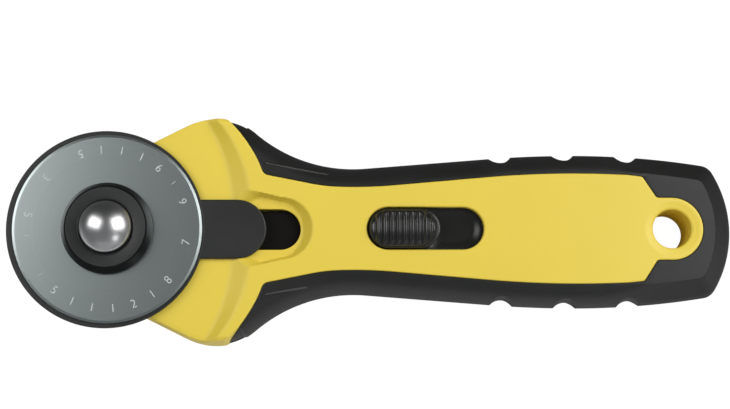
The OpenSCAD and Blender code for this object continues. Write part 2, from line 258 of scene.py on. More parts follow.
def combine(obj: bpy.types.Object, other: bpy.types.Object, operation: str) -> None:
    """Joins another solid to obj, or cuts it away, and removes it.

    Args:
        obj: The piece that stays.
        other: The solid that is used up.
        operation: UNION, DIFFERENCE or INTERSECT.
    """
    activate(obj)
    tool = obj.modifiers.new("Combine", "BOOLEAN")
    tool.operation = operation
    tool.solver = "EXACT"
    tool.object = other
    bpy.ops.object.modifier_apply(modifier=tool.name)
    mesh = other.data
    bpy.data.objects.remove(other, do_unlink=True)
    bpy.data.meshes.remove(mesh)


def cut(obj: bpy.types.Object, *cutters: bpy.types.Object) -> None:
    """Cuts solids away from obj, one after another."""
    for cutter in cutters:
        combine(obj, cutter, "DIFFERENCE")


def steps_between(start: float, end: float, pitch: float) -> list[float]:
    """Evenly spaced numbers from start to end."""
    count = max(1, round((end - start) / pitch))
    return [start + (end - start) * i / count for i in range(count + 1)]


def score(
    obj: bpy.types.Object,
    test: Callable[[bmesh.types.BMFace], bool],
    across_x: Sequence[float] = (),
    across_y: Sequence[float] = (),
) -> None:
    """Divides the faces that pass a test along planes across X and across Y.

    Args:
        obj: The piece.
        test: Says whether a face is divided.
        across_x: Places of the planes across X.
        across_y: Places of the planes across Y.
    """
    with editing(obj):
        pick_faces(obj, test)
        bpy.ops.mesh.hide(unselected=True)
        for places, normal in ((across_x, (1, 0, 0)), (across_y, (0, 1, 0))):
            for place in places:
                bpy.ops.mesh.select_all(action="SELECT")
                origin = tuple(place * part for part in normal)
                bpy.ops.mesh.bisect(plane_co=origin, plane_no=normal, threshold=0.0005)
        bpy.ops.mesh.reveal(select=False)


def reshape(obj: bpy.types.Object, move: Callable[[Vector], Vector]) -> None:
    """Moves every point of obj to where a function says."""
    for vert in obj.data.vertices:
        vert.co = move(vert.co)


def faces_up(face: bmesh.types.BMFace) -> bool:
    """Says whether a face looks towards the front."""
    return face.normal.z > 0.2


def hub_place() -> Vector:
    """Place of the blade's axis in the frame, in metres."""
    low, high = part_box("blade")
    return Vector(((low[0] + high[0]) / 2, (low[1] + high[1]) / 2, 0.0))


def settle(obj: bpy.types.Object, smooth: float = 35.0, weighted: bool = True) -> None:
    """Shades a finished piece and moves it from the blade's axis to the frame.

    Args:
        obj: The piece, in millimetres about the blade's axis.
        smooth: Angle in degrees under which faces are shaded as one.
        weighted: True if large flat faces keep their own normal.
    """
    activate(obj)
    place = obj.data.attributes.get("place")
    if place:
        obj.data.attributes.remove(place)
    obj.data.transform(Matrix.Translation(hub_place()) @ Matrix.Scale(MM, 4))
    bpy.ops.object.shade_smooth_by_angle(angle=math.radians(smooth))
    if weighted:
        shade = obj.modifiers.new("Shade", "WEIGHTED_NORMAL")
        shade.keep_sharp = True
        bpy.ops.object.modifier_apply(modifier=shade.name)
    obj.data.update()


def mount(
    obj: bpy.types.Object, body: str, slot: str, finish: "Finish", *nodes: str
) -> None:
    """Puts a finished piece on its body in place of CAD nodes.

    Args:
        obj: The piece.
        body: CAD body that it moves with.
        slot: Material slot of the record; not used.
        finish: Its finish.
        nodes: CAD nodes that it stands for.
    """
    obj.data.materials.clear()
    obj.data.materials.append(finish.material())
    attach(obj, body)
    if nodes:
        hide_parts(*nodes)
    LOG.info("%s: %d faces on %s", obj.name, len(obj.data.polygons), body)


# ------------------------------------------------------------- plan shapes


def arc(centre: Point, radius: float, start: float, end: float, steps: int) -> Plan:
    """Points of an arc.

    Args:
        centre: Its centre.
        radius: Its radius.
        start: Angle of its first point, in degrees.
        end: Angle of its last point, in degrees.
        steps: Number of steps between them.

    Returns:
        steps + 1 points.
    """
    angles = [math.radians(start + (end - start) * i / steps) for i in range(steps + 1)]
    return [(centre[0] + radius * math.cos(a), centre[1] + radius * math.sin(a)) for a in angles]


def bend(before: Point, corner: Point, after: Point, reach: float, steps: int = 5) -> Plan:
    """Points of a soft corner between two straight lines.

    Args:
        before: A point on the line that leads in.
        corner: Where the lines would meet.
        after: A point on the line that leads out.
        reach: How far from the corner the softening starts.
        steps: Number of steps round it.

    Returns:
        steps + 1 points.
    """
    middle_point = Vector(corner)
    first = middle_point + (Vector(before) - middle_point).normalized() * reach
    last = middle_point + (Vector(after) - middle_point).normalized() * reach
    points = []
    for i in range(steps + 1):
        t = i / steps
        point = first * (1 - t) ** 2 + middle_point * 2 * t * (1 - t) + last * t**2
        points.append((point.x, point.y))
    return points


def mirrored(half: Plan) -> Plan:
    """A whole plan from its half above the axis, which starts and ends on the axis."""
    return half + [(x, -y) for x, y in reversed(half[1:-1])]


def stadium(start: float, end: float, half: float, steps: int = 24) -> Plan:
    """A round-ended bar along X.

    Args:
        start: Its left end.
        end: Its right end.
        half: Half its width.
        steps: Steps in each round end.

    Returns:
        Its outline.
    """
    right = arc((end - half, 0), half, -90, 90, steps)
    left = arc((start + half, 0), half, 90, 270, steps)
    return right + left


def meeting(c1: Point, r1: float, c2: Point, r2: float) -> Point:
    """Point at distance r1 from c1 and r2 from c2, on the right of the line between them.

    Args:
        c1: The first centre.
        r1: Distance from it.
        c2: The second centre.
        r2: Distance from it.

    Returns:
        The point.
    """
    away = Vector(c2) - Vector(c1)
    length = away.length
    along = (r1 * r1 - r2 * r2 + length * length) / (2 * length)
    side = math.sqrt(r1 * r1 - along * along)
    unit = away / length
    return (c1[0] + along * unit.x + side * unit.y, c1[1] + along * unit.y - side * unit.x)


def direction(start: Point, end: Point) -> float:
    """Angle in degrees from one point to another."""
    return math.degrees(math.atan2(end[1] - start[1], end[0] - start[0]))


@dataclass(frozen=True)
class HandleOutline:
    """The handle seen from the front, as arcs that touch. Millimetres about the blade's axis."""

    nose_r: float = 14.6664
    shoulder: Point = (25.9, 10.9)
    shoulder_r: float = 16.5
    throat: Point = (25.9, 13.4343)
    throat_r: float = 13.9657
    neck: Point = (58.5, 51.3)
    neck_r: float = 36.0
    belly: Point = (112.0, -246.4)
    belly_r: float = 265.0
    butt: Point = (112.0, -181.4)
    butt_r: float = 200.0
    corner_r: float = 3.8
    end: Point = (121.8, 0.0)
    end_r: float = 28.0
    rubber_r: float = 39.3
    hole: Point = (134.8, 0.0)
    boss_r: float = 7.47

    def half(self, inset: float) -> Plan:
        """Upper half of the outline, moved in by inset.

        Args:
            inset: How far the outline is moved in.

        Returns:
            The points from nose to butt.
        """
        round_r = self.corner_r - 0.28 * inset
        corner = meeting(
            self.butt, self.butt_r - inset - round_r, self.end, self.end_r - inset - round_r
        )
        side_a = direction(self.butt, corner)
        end_a = direction(self.end, corner)
        return (
            arc((0, 0), self.nose_r - inset, 180, 118, 14)
            + arc(self.shoulder, self.shoulder_r - inset, 116.565, 91, 10)
            + arc(self.throat, self.throat_r - inset, 88, 50.5, 18)
            + arc(self.neck, self.neck_r + inset, 229.27, 274, 26)
            + arc(self.belly, self.belly_r - inset, 94.3, 90, 22)
            + arc(self.butt, self.butt_r - inset, 89.6, side_a, 22)
            + arc(corner, round_r, side_a - 5, end_a, 10)
            + arc(self.end, self.end_r - inset, end_a - 2.5, 0, 11)
        )

    def ring(self, inset: float) -> Plan:
        """The whole outline, moved in by inset."""
        return mirrored(self.half(inset))

    def island_half(self) -> Plan:
        """Upper half of the yellow shape: the head, and the panel that the rubber frames.

        Returns:
            The points from nose to butt.
        """
        head = []
        for point in self.half(0):
            if math.hypot(*point) > self.rubber_r:
                break
            head.append(point)
        last = head[-1]
        corner = (37.08, 13.03)
        start = direction((0, 0), last) - 1.0
        rim = arc((0, 0), self.rubber_r, start, 22.0, 14)
        waist = arc((56.26, 49.99), 40, 258.7, 267, 8)
        side = arc((58.7, 119.95), 110, 268, 275, 8)
        belly = arc((112, -236.76), 250, 95, 87.2, 16)
        tail = (127.8, 12.55)
        root = (131.1, self.boss_r)
        return (
            head
            + rim
            + bend(rim[-1], corner, waist[0], 1.1)
            + waist
            + side
            + belly
            + bend(belly[-1], tail, root, 0.5)
            + bend(tail, root, (134.0, self.boss_r), 0.6)
            + arc(self.hole, self.boss_r, 90, 0, 18)
        )

    def island(self) -> Plan:
        """The whole yellow shape."""
        return mirrored(self.island_half())


OUTLINE = HandleOutline()


def soft_step(value: float, ease: float) -> float:
    """A straight rise from 0 to 1 with both its corners rounded.

    Args:
        value: Place on the rise: 0 at its foot and 1 at its top.
        ease: How far the rounding reaches to each side of a corner.

    Returns:
        The height, from 0 to 1.
    """
    if value > 0.5:
        return 1.0 - soft_step(1.0 - value, ease)
    if value <= -ease:
        return 0.0
    if value < ease:
        return (value + ease) ** 2 / (4 * ease)
    return value


def smooth_min(a: float, b: float, reach: float) -> float:
    """The smaller of two numbers, blended where they are nearly equal."""
    h = max(reach - abs(a - b), 0.0) / reach
    return min(a, b) - h * h * reach / 4


@dataclass(frozen=True)
class HandleFaces:
    """Heights of the handle's front and back faces."""

    fall_x: float = 100.0
    fall_r: float = 620.0
    crown: float = 0.35
    step_centre: float = -27.0
    step_r: float = 57.1
    step_w: float = 4.5
    step_w_rim: float = 2.5
    channel_x: float = 41.55
    channel_half: float = 7.35
    channel_taper: float = 0.243
    channel_w: float = 0.65
    channel_end_w: float = 2.5
    ramp_x: float = 36.5
    ramp_gain: float = 0.7
    draft: float = 0.16
    draft_z: tuple[float, float] = (9.0, 13.0)
    draft_reach: float = 5.0
    draft_end: float = 36.0
    head_run: float = 22.0

    def front(self, x: float, y: float) -> float:
        """Height of the front face at a place, without the head's step."""
        fall = max(0.0, x - self.fall_x) ** 2 / (2 * self.fall_r)
        return FRONT_Z - fall - self.crown * (y / 18.6) ** 2

    def back(self, x: float) -> float:
        """Height of the back face: high under the head, flat under the grip.

        Args:
            x: Distance along the handle from the blade's axis.

        Returns:
            The height.
        """
        if x < 30:
            return HEAD_BACK_Z
        if x < 50:
            return HEAD_BACK_Z * (1 + math.cos(math.radians(9 * (x - 30)))) / 2
        return max(0.0, x - 136) ** 2 / 150

    def head_inset(self, x: float, y: float) -> float:
        """Distance from a place on the head to the outline, near the widest part.

        Args:
            x: Distance along the handle from the blade's axis.
            y: Distance across it.

        Returns:
            The distance, above 0 inside the outline.
        """
        side = abs(y)
        if x < OUTLINE.shoulder[0]:
            if side < OUTLINE.shoulder[1]:
                return OUTLINE.shoulder_r
            off = math.hypot(x - OUTLINE.shoulder[0], side - OUTLINE.shoulder[1])
            return OUTLINE.shoulder_r - off
        angle = math.degrees(math.atan2(side - OUTLINE.throat[1], x - OUTLINE.throat[0]))
        if angle > 49.27:
            return OUTLINE.throat_r - math.hypot(x - OUTLINE.throat[0], side - OUTLINE.throat[1])
        return math.hypot(x - OUTLINE.neck[0], side - OUTLINE.neck[1]) - OUTLINE.neck_r

    def rise(self, x: float, y: float) -> float:
        """How much of the step is climbed: 0 on the head's floor, 1 on the front face.

        Args:
            x: Distance along the handle from the blade's axis.
            y: Distance across it.

        Returns:
            The share, from 0 to 1.
        """
        near_rim = min(1.0, max(0.0, (abs(y) - 12.0) / 14.0))
        width = self.step_w + (self.step_w_rim - self.step_w) * near_rim**1.5
        step = (math.hypot(x - self.step_centre, y) - self.step_r) / width
        out = x - self.channel_x
        if out > 0:
            away = math.hypot(out, y) - self.channel_half
            end_share = (out / max(math.hypot(out, y), 0.001)) ** 1.4
        else:
            away = abs(y) - self.channel_half + self.channel_taper * out
            end_share = 0.0
        slope = self.channel_w + (self.channel_end_w - self.channel_w) * end_share
        slope += max(0.0, self.ramp_x - x) * self.ramp_gain
        return smooth_min(soft_step(step, 0.1), soft_step(1 + away / slope, 0.1), 0.08)

    def drawn_in(self, place: Vector) -> Vector:
        """Where a point of the head's side goes: inwards, more the higher it stands.

        Args:
            place: The point, in millimetres about the blade's axis.

        Returns:
            The point moved.
        """
        inset = self.head_inset(place.x, place.y)
        low, high = self.draft_z
        reach = self.draft * max(0.0, min(place.z, high) - low)
        if inset > self.draft_reach or place.x > self.draft_end or reach == 0:
            return place
        inwards = Vector((min(max(place.x, 0.0), self.head_run), 0.0)) - place.xy
        inwards.normalize()
        move = inwards * reach * (1 - max(0.0, inset) / self.draft_reach)
        return Vector((place.x + move.x, place.y + move.y, place.z))

    def rubber_relief(self, place: Vector) -> Vector:
        """Where a point of the flat-topped front rubber goes.

        Args:
            place: The point, in millimetres about the blade's axis.

        Returns:
            The point moved.
        """
        share = max(0.0, (place.z - SPLIT_Z) / (FRONT_Z - SPLIT_Z))
        drop = FRONT_Z - self.front(place.x, place.y)
        return Vector((place.x, place.y, place.z - share * drop))

    def back_relief(self, place: Vector) -> Vector:
        """Where a point of a flat-bottomed back piece goes."""
        share = (SPLIT_Z - place.z) / SPLIT_Z
        return Vector((place.x, place.y, SPLIT_Z - share * (SPLIT_Z - self.back(place.x))))


FACES = HandleFaces()


# ----------------------------------------------------------------- finishes

Colour = tuple[float, float, float, float]


def rgb(red: int, green: int, blue: int) -> Colour:
    """A paint-chart colour as the linear numbers that a shader reads.

    Args:
        red: Red, 0 to 255.
        green: Green, 0 to 255.
        blue: Blue, 0 to 255.

    Returns:
        The colour, fully opaque.
    """
    parts = [c / 255 for c in (red, green, blue)]
    linear = [c / 12.92 if c <= 0.04045 else ((c + 0.055) / 1.055) ** 2.4 for c in parts]
    return (linear[0], linear[1], linear[2], 1.0)


class Nodes:
    """Adds and links the nodes of one material or node group."""

    def __init__(self, tree: bpy.types.NodeTree) -> None:
        """Starts with an empty tree."""
        self.tree = tree
        tree.nodes.clear()

    def add(self, kind: str, **settings: object) -> bpy.types.Node:
        """Adds a node and gives it its settings.

        Args:
            kind: Type of the node, without its ShaderNode prefix.
            settings: Its attributes, by name.

        Returns:
            The node.
        """
        node = self.tree.nodes.new("ShaderNode" + kind)
        for name, value in settings.items():
            setattr(node, name, value)
        return node

    def link(self, source: bpy.types.NodeSocket, target: bpy.types.NodeSocket) -> None:
        """Links an output to an input."""
        self.tree.links.new(source, target)

    def maths(self, operation: str, first: object, second: object) -> bpy.types.NodeSocket:
        """Adds a sum of two values or sockets.

        Args:
            operation: Name of the sum, such as MULTIPLY.
            first: A number or an output.
            second: A number or an output.

        Returns:
            The result's output.
        """
        node = self.add("Math", operation=operation)
        for socket, value in zip(node.inputs, (first, second)):
            if isinstance(value, bpy.types.NodeSocket):
                self.link(value, socket)
            else:
                socket.default_value = value
        return node.outputs[0]


def effect_group(
    name: str, inputs: dict[str, float], outputs: Sequence[str]
) -> tuple[bpy.types.NodeTree, Nodes, bpy.types.Node, bpy.types.Node]:
    """Starts a shared node group.

    Args:
        name: Name of the group.
        inputs: Its inputs and their usual values.
        outputs: Its outputs.

    Returns:
        The group, its nodes, and its input and output nodes.
    """
    group = bpy.data.node_groups.new(name, "ShaderNodeTree")
    for title, value in inputs.items():
        socket = group.interface.new_socket(title, in_out="INPUT", socket_type="NodeSocketFloat")
        socket.default_value = value
    for title in outputs:
        group.interface.new_socket(title, in_out="OUTPUT", socket_type="NodeSocketFloat")
    nodes = Nodes(group)
    entry = nodes.tree.nodes.new("NodeGroupInput")
    leave = nodes.tree.nodes.new("NodeGroupOutput")
    return group, nodes, entry, leave


class Effects:
    """The node groups that the finishes share, each built once."""

    def __init__(self) -> None:
        """Starts with no group built."""
        self.built: dict[str, bpy.types.NodeTree] = {}

    def get(self, name: str) -> bpy.types.NodeTree:
        """The group with that name, built when it is first asked for.

        Args:
            name: Name of the effect.

        Returns:
            The group.
        """
        if name not in self.built:
            self.built[name] = getattr(self, "build_" + name)()
        return self.built[name]

    def build_grain(self) -> bpy.types.NodeTree:
        """Moulded grain: small rounded pits at one size, and slow changes of tone.

        Returns:
            The group.
        """
        group, nodes, entry, leave = effect_group(
            "grain", {"Size": 2500.0, "Patches": 60.0}, ("Height", "Tone")
        )
        place = nodes.add("TexCoord").outputs["Object"]
        fine = nodes.add("TexNoise")
        fine.inputs["Detail"].default_value = 3.0
        fine.inputs["Roughness"].default_value = 0.6
        pits = nodes.add("TexVoronoi", feature="SMOOTH_F1")
        patches = nodes.add("TexNoise")
        patches.inputs["Detail"].default_value = 4.0
        for texture in (fine, pits, patches):
            nodes.link(place, texture.inputs["Vector"])
        nodes.link(entry.outputs["Size"], fine.inputs["Scale"])
        nodes.link(nodes.maths("MULTIPLY", entry.outputs["Size"], 0.55), pits.inputs["Scale"])
        nodes.link(entry.outputs["Patches"], patches.inputs["Scale"])
        mixed = nodes.maths("ADD", fine.outputs[0], pits.outputs["Distance"])
        nodes.link(nodes.maths("MULTIPLY", mixed, 0.5), leave.inputs["Height"])
        nodes.link(patches.outputs[0], leave.inputs["Tone"])
        return group

    def build_brushing(self) -> bpy.types.NodeTree:
        """Fine rings round the blade's axis, as a lathe or a grinding wheel leaves.

        Returns:
            The group.
        """
        group, nodes, entry, leave = effect_group(
            "brushing", {"Fineness": 9000.0, "Axis X": 0.0, "Axis Y": 0.0}, ("Height", "Tone")
        )
        split = nodes.add("SeparateXYZ")
        nodes.link(nodes.add("TexCoord").outputs["Object"], split.inputs[0])
        along_x = nodes.maths("SUBTRACT", split.outputs["X"], entry.outputs["Axis X"])
        along_y = nodes.maths("SUBTRACT", split.outputs["Y"], entry.outputs["Axis Y"])
        squares = nodes.maths(
            "ADD", nodes.maths("POWER", along_x, 2.0), nodes.maths("POWER", along_y, 2.0)
        )
        radius = nodes.maths("POWER", squares, 0.5)
        turn = nodes.maths("ARCTAN2", along_y, along_x)
        join = nodes.add("CombineXYZ")
        nodes.link(nodes.maths("MULTIPLY", radius, entry.outputs["Fineness"]), join.inputs["X"])
        nodes.link(nodes.maths("COSINE", turn, 0.0), join.inputs["Y"])
        nodes.link(nodes.maths("SINE", turn, 0.0), join.inputs["Z"])
        lines = nodes.add("TexNoise")
        lines.inputs["Scale"].default_value = 1.0
        lines.inputs["Detail"].default_value = 5.0
        nodes.link(join.outputs[0], lines.inputs["Vector"])
        smears = nodes.add("TexNoise")
        smears.inputs["Scale"].default_value = 0.12
        smears.inputs["Detail"].default_value = 4.0
        nodes.link(join.outputs[0], smears.inputs["Vector"])
        nodes.link(lines.outputs[0], leave.inputs["Height"])
        nodes.link(smears.outputs[0], leave.inputs["Tone"])
        return group

    def build_edge_wear(self) -> bpy.types.NodeTree:
        """Rubbed places along outward edges, broken up by noise.

        Returns:
            The group.
        """
        group, nodes, entry, leave = effect_group("edge_wear", {"Reach": 0.5}, ("Mask",))
        point = nodes.add("NewGeometry").outputs["Pointiness"]
        band = nodes.add("MapRange", clamp=True)
        band.inputs["From Min"].default_value = 0.53
        band.inputs["From Max"].default_value = 0.62
        nodes.link(point, band.inputs["Value"])
        noise = nodes.add("TexNoise")
        noise.inputs["Scale"].default_value = 700.0
        noise.inputs["Detail"].default_value = 5.0
        nodes.link(nodes.add("TexCoord").outputs["Object"], noise.inputs["Vector"])
        rubbed = nodes.maths("MULTIPLY", band.outputs[0], noise.outputs[0])
        nodes.link(nodes.maths("MULTIPLY", rubbed, entry.outputs["Reach"]), leave.inputs["Mask"])
        return group

    def build_dust(self) -> bpy.types.NodeTree:
        """A thin film of dust with a few specks, on faces that look up.

        Returns:
            The group.
        """
        group, nodes, entry, leave = effect_group("dust", {"Amount": 0.1}, ("Mask",))
        place = nodes.add("TexCoord").outputs["Object"]
        film = nodes.add("TexNoise")
        film.inputs["Scale"].default_value = 180.0
        film.inputs["Detail"].default_value = 6.0
        specks = nodes.add("TexVoronoi")
        specks.inputs["Scale"].default_value = 420.0
        for texture in (film, specks):
            nodes.link(place, texture.inputs["Vector"])
        near = nodes.maths("LESS_THAN", specks.outputs["Distance"], 0.07)
        some = nodes.maths("ADD", film.outputs[0], near)
        split = nodes.add("SeparateXYZ")
        nodes.link(nodes.add("NewGeometry").outputs["Normal"], split.inputs[0])
        up = nodes.maths("MAXIMUM", split.outputs["Z"], 0.0)
        lying = nodes.maths("MULTIPLY", some, up)
        nodes.link(nodes.maths("MULTIPLY", lying, entry.outputs["Amount"]), leave.inputs["Mask"])
        return group


EFFECTS = Effects()


class Pattern(Enum):
    """Which shared effect a finish takes its bump and its tone from."""

    GRAIN = "grain"
    BRUSHING = "brushing"


@dataclass(frozen=True)
class Finish:
    """One finish: its colours, its gloss, and how its surface is textured."""

    name: str
    colour: Colour
    second: Colour
    roughness: float
    metallic: float = 0.0
    specular: float = 0.5
    pattern: Pattern = Pattern.GRAIN
    size: float = 2500.0
    patches: float = 60.0
    depth: float = 0.00001
    bump: float = 0.2
    rough_spread: float = 0.1
    wear: float = 0.0
    worn: Colour = (0.6, 0.6, 0.6, 1.0)
    dust: float = 0.0

    def material(self) -> bpy.types.Material:
        """The finish as a material, built when it is first asked for."""
        found = bpy.data.materials.get(self.name + "_finish")
        return found if found else self.build()

    def effect(self, nodes: Nodes, name: str, **values: float) -> bpy.types.Node:
        """Places a shared effect in this material.

        Args:
            nodes: The material's nodes.
            name: Name of the effect.
            values: Values of its inputs, with spaces written as underscores.

        Returns:
            The group node.
        """
        node = nodes.add("Group", node_tree=EFFECTS.get(name))
        for title, value in values.items():
            node.inputs[title.replace("_", " ")].default_value = value
        return node

    def surface(self, nodes: Nodes) -> bpy.types.Node:
        """Places the effect that gives this finish its bump and tone.

        Args:
            nodes: The material's nodes.

        Returns:
            The group node.
        """
        if self.pattern is Pattern.BRUSHING:
            axis = hub_place()
            return self.effect(nodes, "brushing", Fineness=self.size, Axis_X=axis.x, Axis_Y=axis.y)
        return self.effect(nodes, "grain", Size=self.size, Patches=self.patches)

    def build(self) -> bpy.types.Material:
        """Makes the material: two tones, worn edges, dust, gloss and bump.

        Returns:
            The material.
        """
        material = bpy.data.materials.new(self.name + "_finish")
        material.use_nodes = True
        nodes = Nodes(material.node_tree)
        shader = nodes.add("BsdfPrincipled")
        leave = nodes.add("OutputMaterial")
        nodes.link(shader.outputs[0], leave.inputs["Surface"])
        surface = self.surface(nodes)
        colour = self.blend(nodes, surface.outputs["Tone"], self.colour, self.second)
        if self.wear:
            mask = self.effect(nodes, "edge_wear", Reach=self.wear).outputs["Mask"]
            colour = self.blend(nodes, mask, colour, self.worn)
        if self.dust:
            mask = self.effect(nodes, "dust", Amount=self.dust).outputs["Mask"]
            colour = self.blend(nodes, mask, colour, rgb(196, 192, 184))
        nodes.link(colour, shader.inputs["Base Color"])
        gloss = nodes.add("MapRange", clamp=True)
        gloss.inputs["From Min"].default_value = 0.25
        gloss.inputs["From Max"].default_value = 0.75
        gloss.inputs["To Min"].default_value = max(0.02, self.roughness - self.rough_spread)
        gloss.inputs["To Max"].default_value = min(1.0, self.roughness + self.rough_spread)
        nodes.link(surface.outputs["Tone"], gloss.inputs["Value"])
        nodes.link(gloss.outputs[0], shader.inputs["Roughness"])
        bump = nodes.add("Bump")
        bump.inputs["Strength"].default_value = self.bump
        bump.inputs["Distance"].default_value = self.depth
        nodes.link(surface.outputs["Height"], bump.inputs["Height"])
        nodes.link(bump.outputs[0], shader.inputs["Normal"])
        shader.inputs["Metallic"].default_value = self.metallic
        shader.inputs["Specular IOR Level"].default_value = self.specular
        return material

    def blend(
        self,
        nodes: Nodes,
        share: bpy.types.NodeSocket,
        first: Colour | bpy.types.NodeSocket,
        second: Colour,
    ) -> bpy.types.NodeSocket:
        """Mixes two colours by a share.

        Args:
            nodes: The material's nodes.
            share: How much of the second colour shows.
            first: A colour or a colour output.
            second: A colour.

        Returns:
            The mixed colour's output.
        """
        mix = nodes.add("Mix", data_type="RGBA")
        nodes.link(share, mix.inputs[0])
        if isinstance(first, bpy.types.NodeSocket):
            nodes.link(first, mix.inputs[6])
        else:
            mix.inputs[6].default_value = first
        mix.inputs[7].default_value = second
        return mix.outputs[2]


YELLOW = Finish(
    "yellow_shell", rgb(232, 207, 72), rgb(226, 200, 66), 0.46, size=3800, depth=0.000012,
    bump=0.25, rough_spread=0.05, dust=0.02, wear=0.15, worn=rgb(240, 222, 120),
)
RUBBER = Finish(
    "black_rubber", rgb(24, 26, 24), rgb(32, 34, 32), 0.45, size=5200, depth=0.00002,
    bump=0.3, rough_spread=0.06, specular=0.38, dust=0.01,
)
# Lighter rubber for the moulding-line crests: a painted highlight, standing in for the light
# caught along each crest.
LINE_HIGHLIGHT_RUBBER = Finish(
    "painted_highlight_rubber", rgb(84, 86, 82), rgb(62, 64, 61), 0.5, size=5200, depth=0.00002,
    bump=0.3, specular=0.4,
)
GUARD_PLASTIC = Finish(
    "guard_plastic", rgb(33, 35, 34), rgb(40, 42, 41), 0.4, size=3000, depth=0.00002,
    bump=0.4, specular=0.35, dust=0.02, wear=0.2, worn=rgb(90, 92, 91),
)
BUTTON_PLASTIC = Finish(
    "button_plastic", rgb(27, 28, 26), rgb(33, 34, 32), 0.26, size=3000, depth=0.000015,
    bump=0.25, wear=0.15, worn=rgb(84, 86, 85),
)
# Darker, rougher, less glossy plastic for the carriage bar seen through the guard's slot: painted
# shade for the slot's depth.
BAR_SHADE_PLASTIC = Finish(
    "painted_shade_bar_plastic", rgb(12, 12, 11), rgb(16, 15, 14), 0.75, size=3000, depth=0.00001, specular=0.15
)
RIM_PLASTIC = Finish(
    "rim_plastic", rgb(12, 12, 12), rgb(18, 18, 18), 0.25, size=4200, depth=0.00001,
    bump=0.1, specular=0.14,
)
HUB_PLASTIC = Finish(
    "hub_plastic", rgb(34, 35, 35), rgb(41, 42, 42), 0.34, size=4200, depth=0.00001,
    bump=0.25, wear=0.15, worn=rgb(90, 92, 91),
)
GROUND_STEEL = Finish(
    "blade_steel", rgb(178, 187, 186), rgb(169, 178, 177), 0.33, metallic=1.0,
    pattern=Pattern.BRUSHING, size=9000, depth=0.000004, bump=0.15, rough_spread=0.015,
)
ETCHED = Finish(
    "etched_marks", rgb(208, 214, 212), rgb(190, 196, 194), 0.55,
    size=6000, depth=0.00001, bump=0.3,
)
CHROME = Finish(
    "chrome", rgb(214, 214, 214), rgb(200, 200, 202), 0.3, metallic=1.0, size=900, patches=120,
    depth=0.000002, bump=0.05, rough_spread=0.03,
)
PLATED = Finish(
    "plated_steel", rgb(176, 178, 180), rgb(150, 152, 154), 0.3, metallic=1.0, size=2600,
    depth=0.000008, bump=0.25, wear=0.3, worn=rgb(214, 214, 212),
)
BRASS = Finish(
    "brass", rgb(206, 172, 96), rgb(186, 150, 80), 0.32, metallic=1.0, size=2600,
    depth=0.000008, bump=0.25, wear=0.3, worn=rgb(236, 208, 140),
)


# ------------------------------------------------------------- sub-assemblies


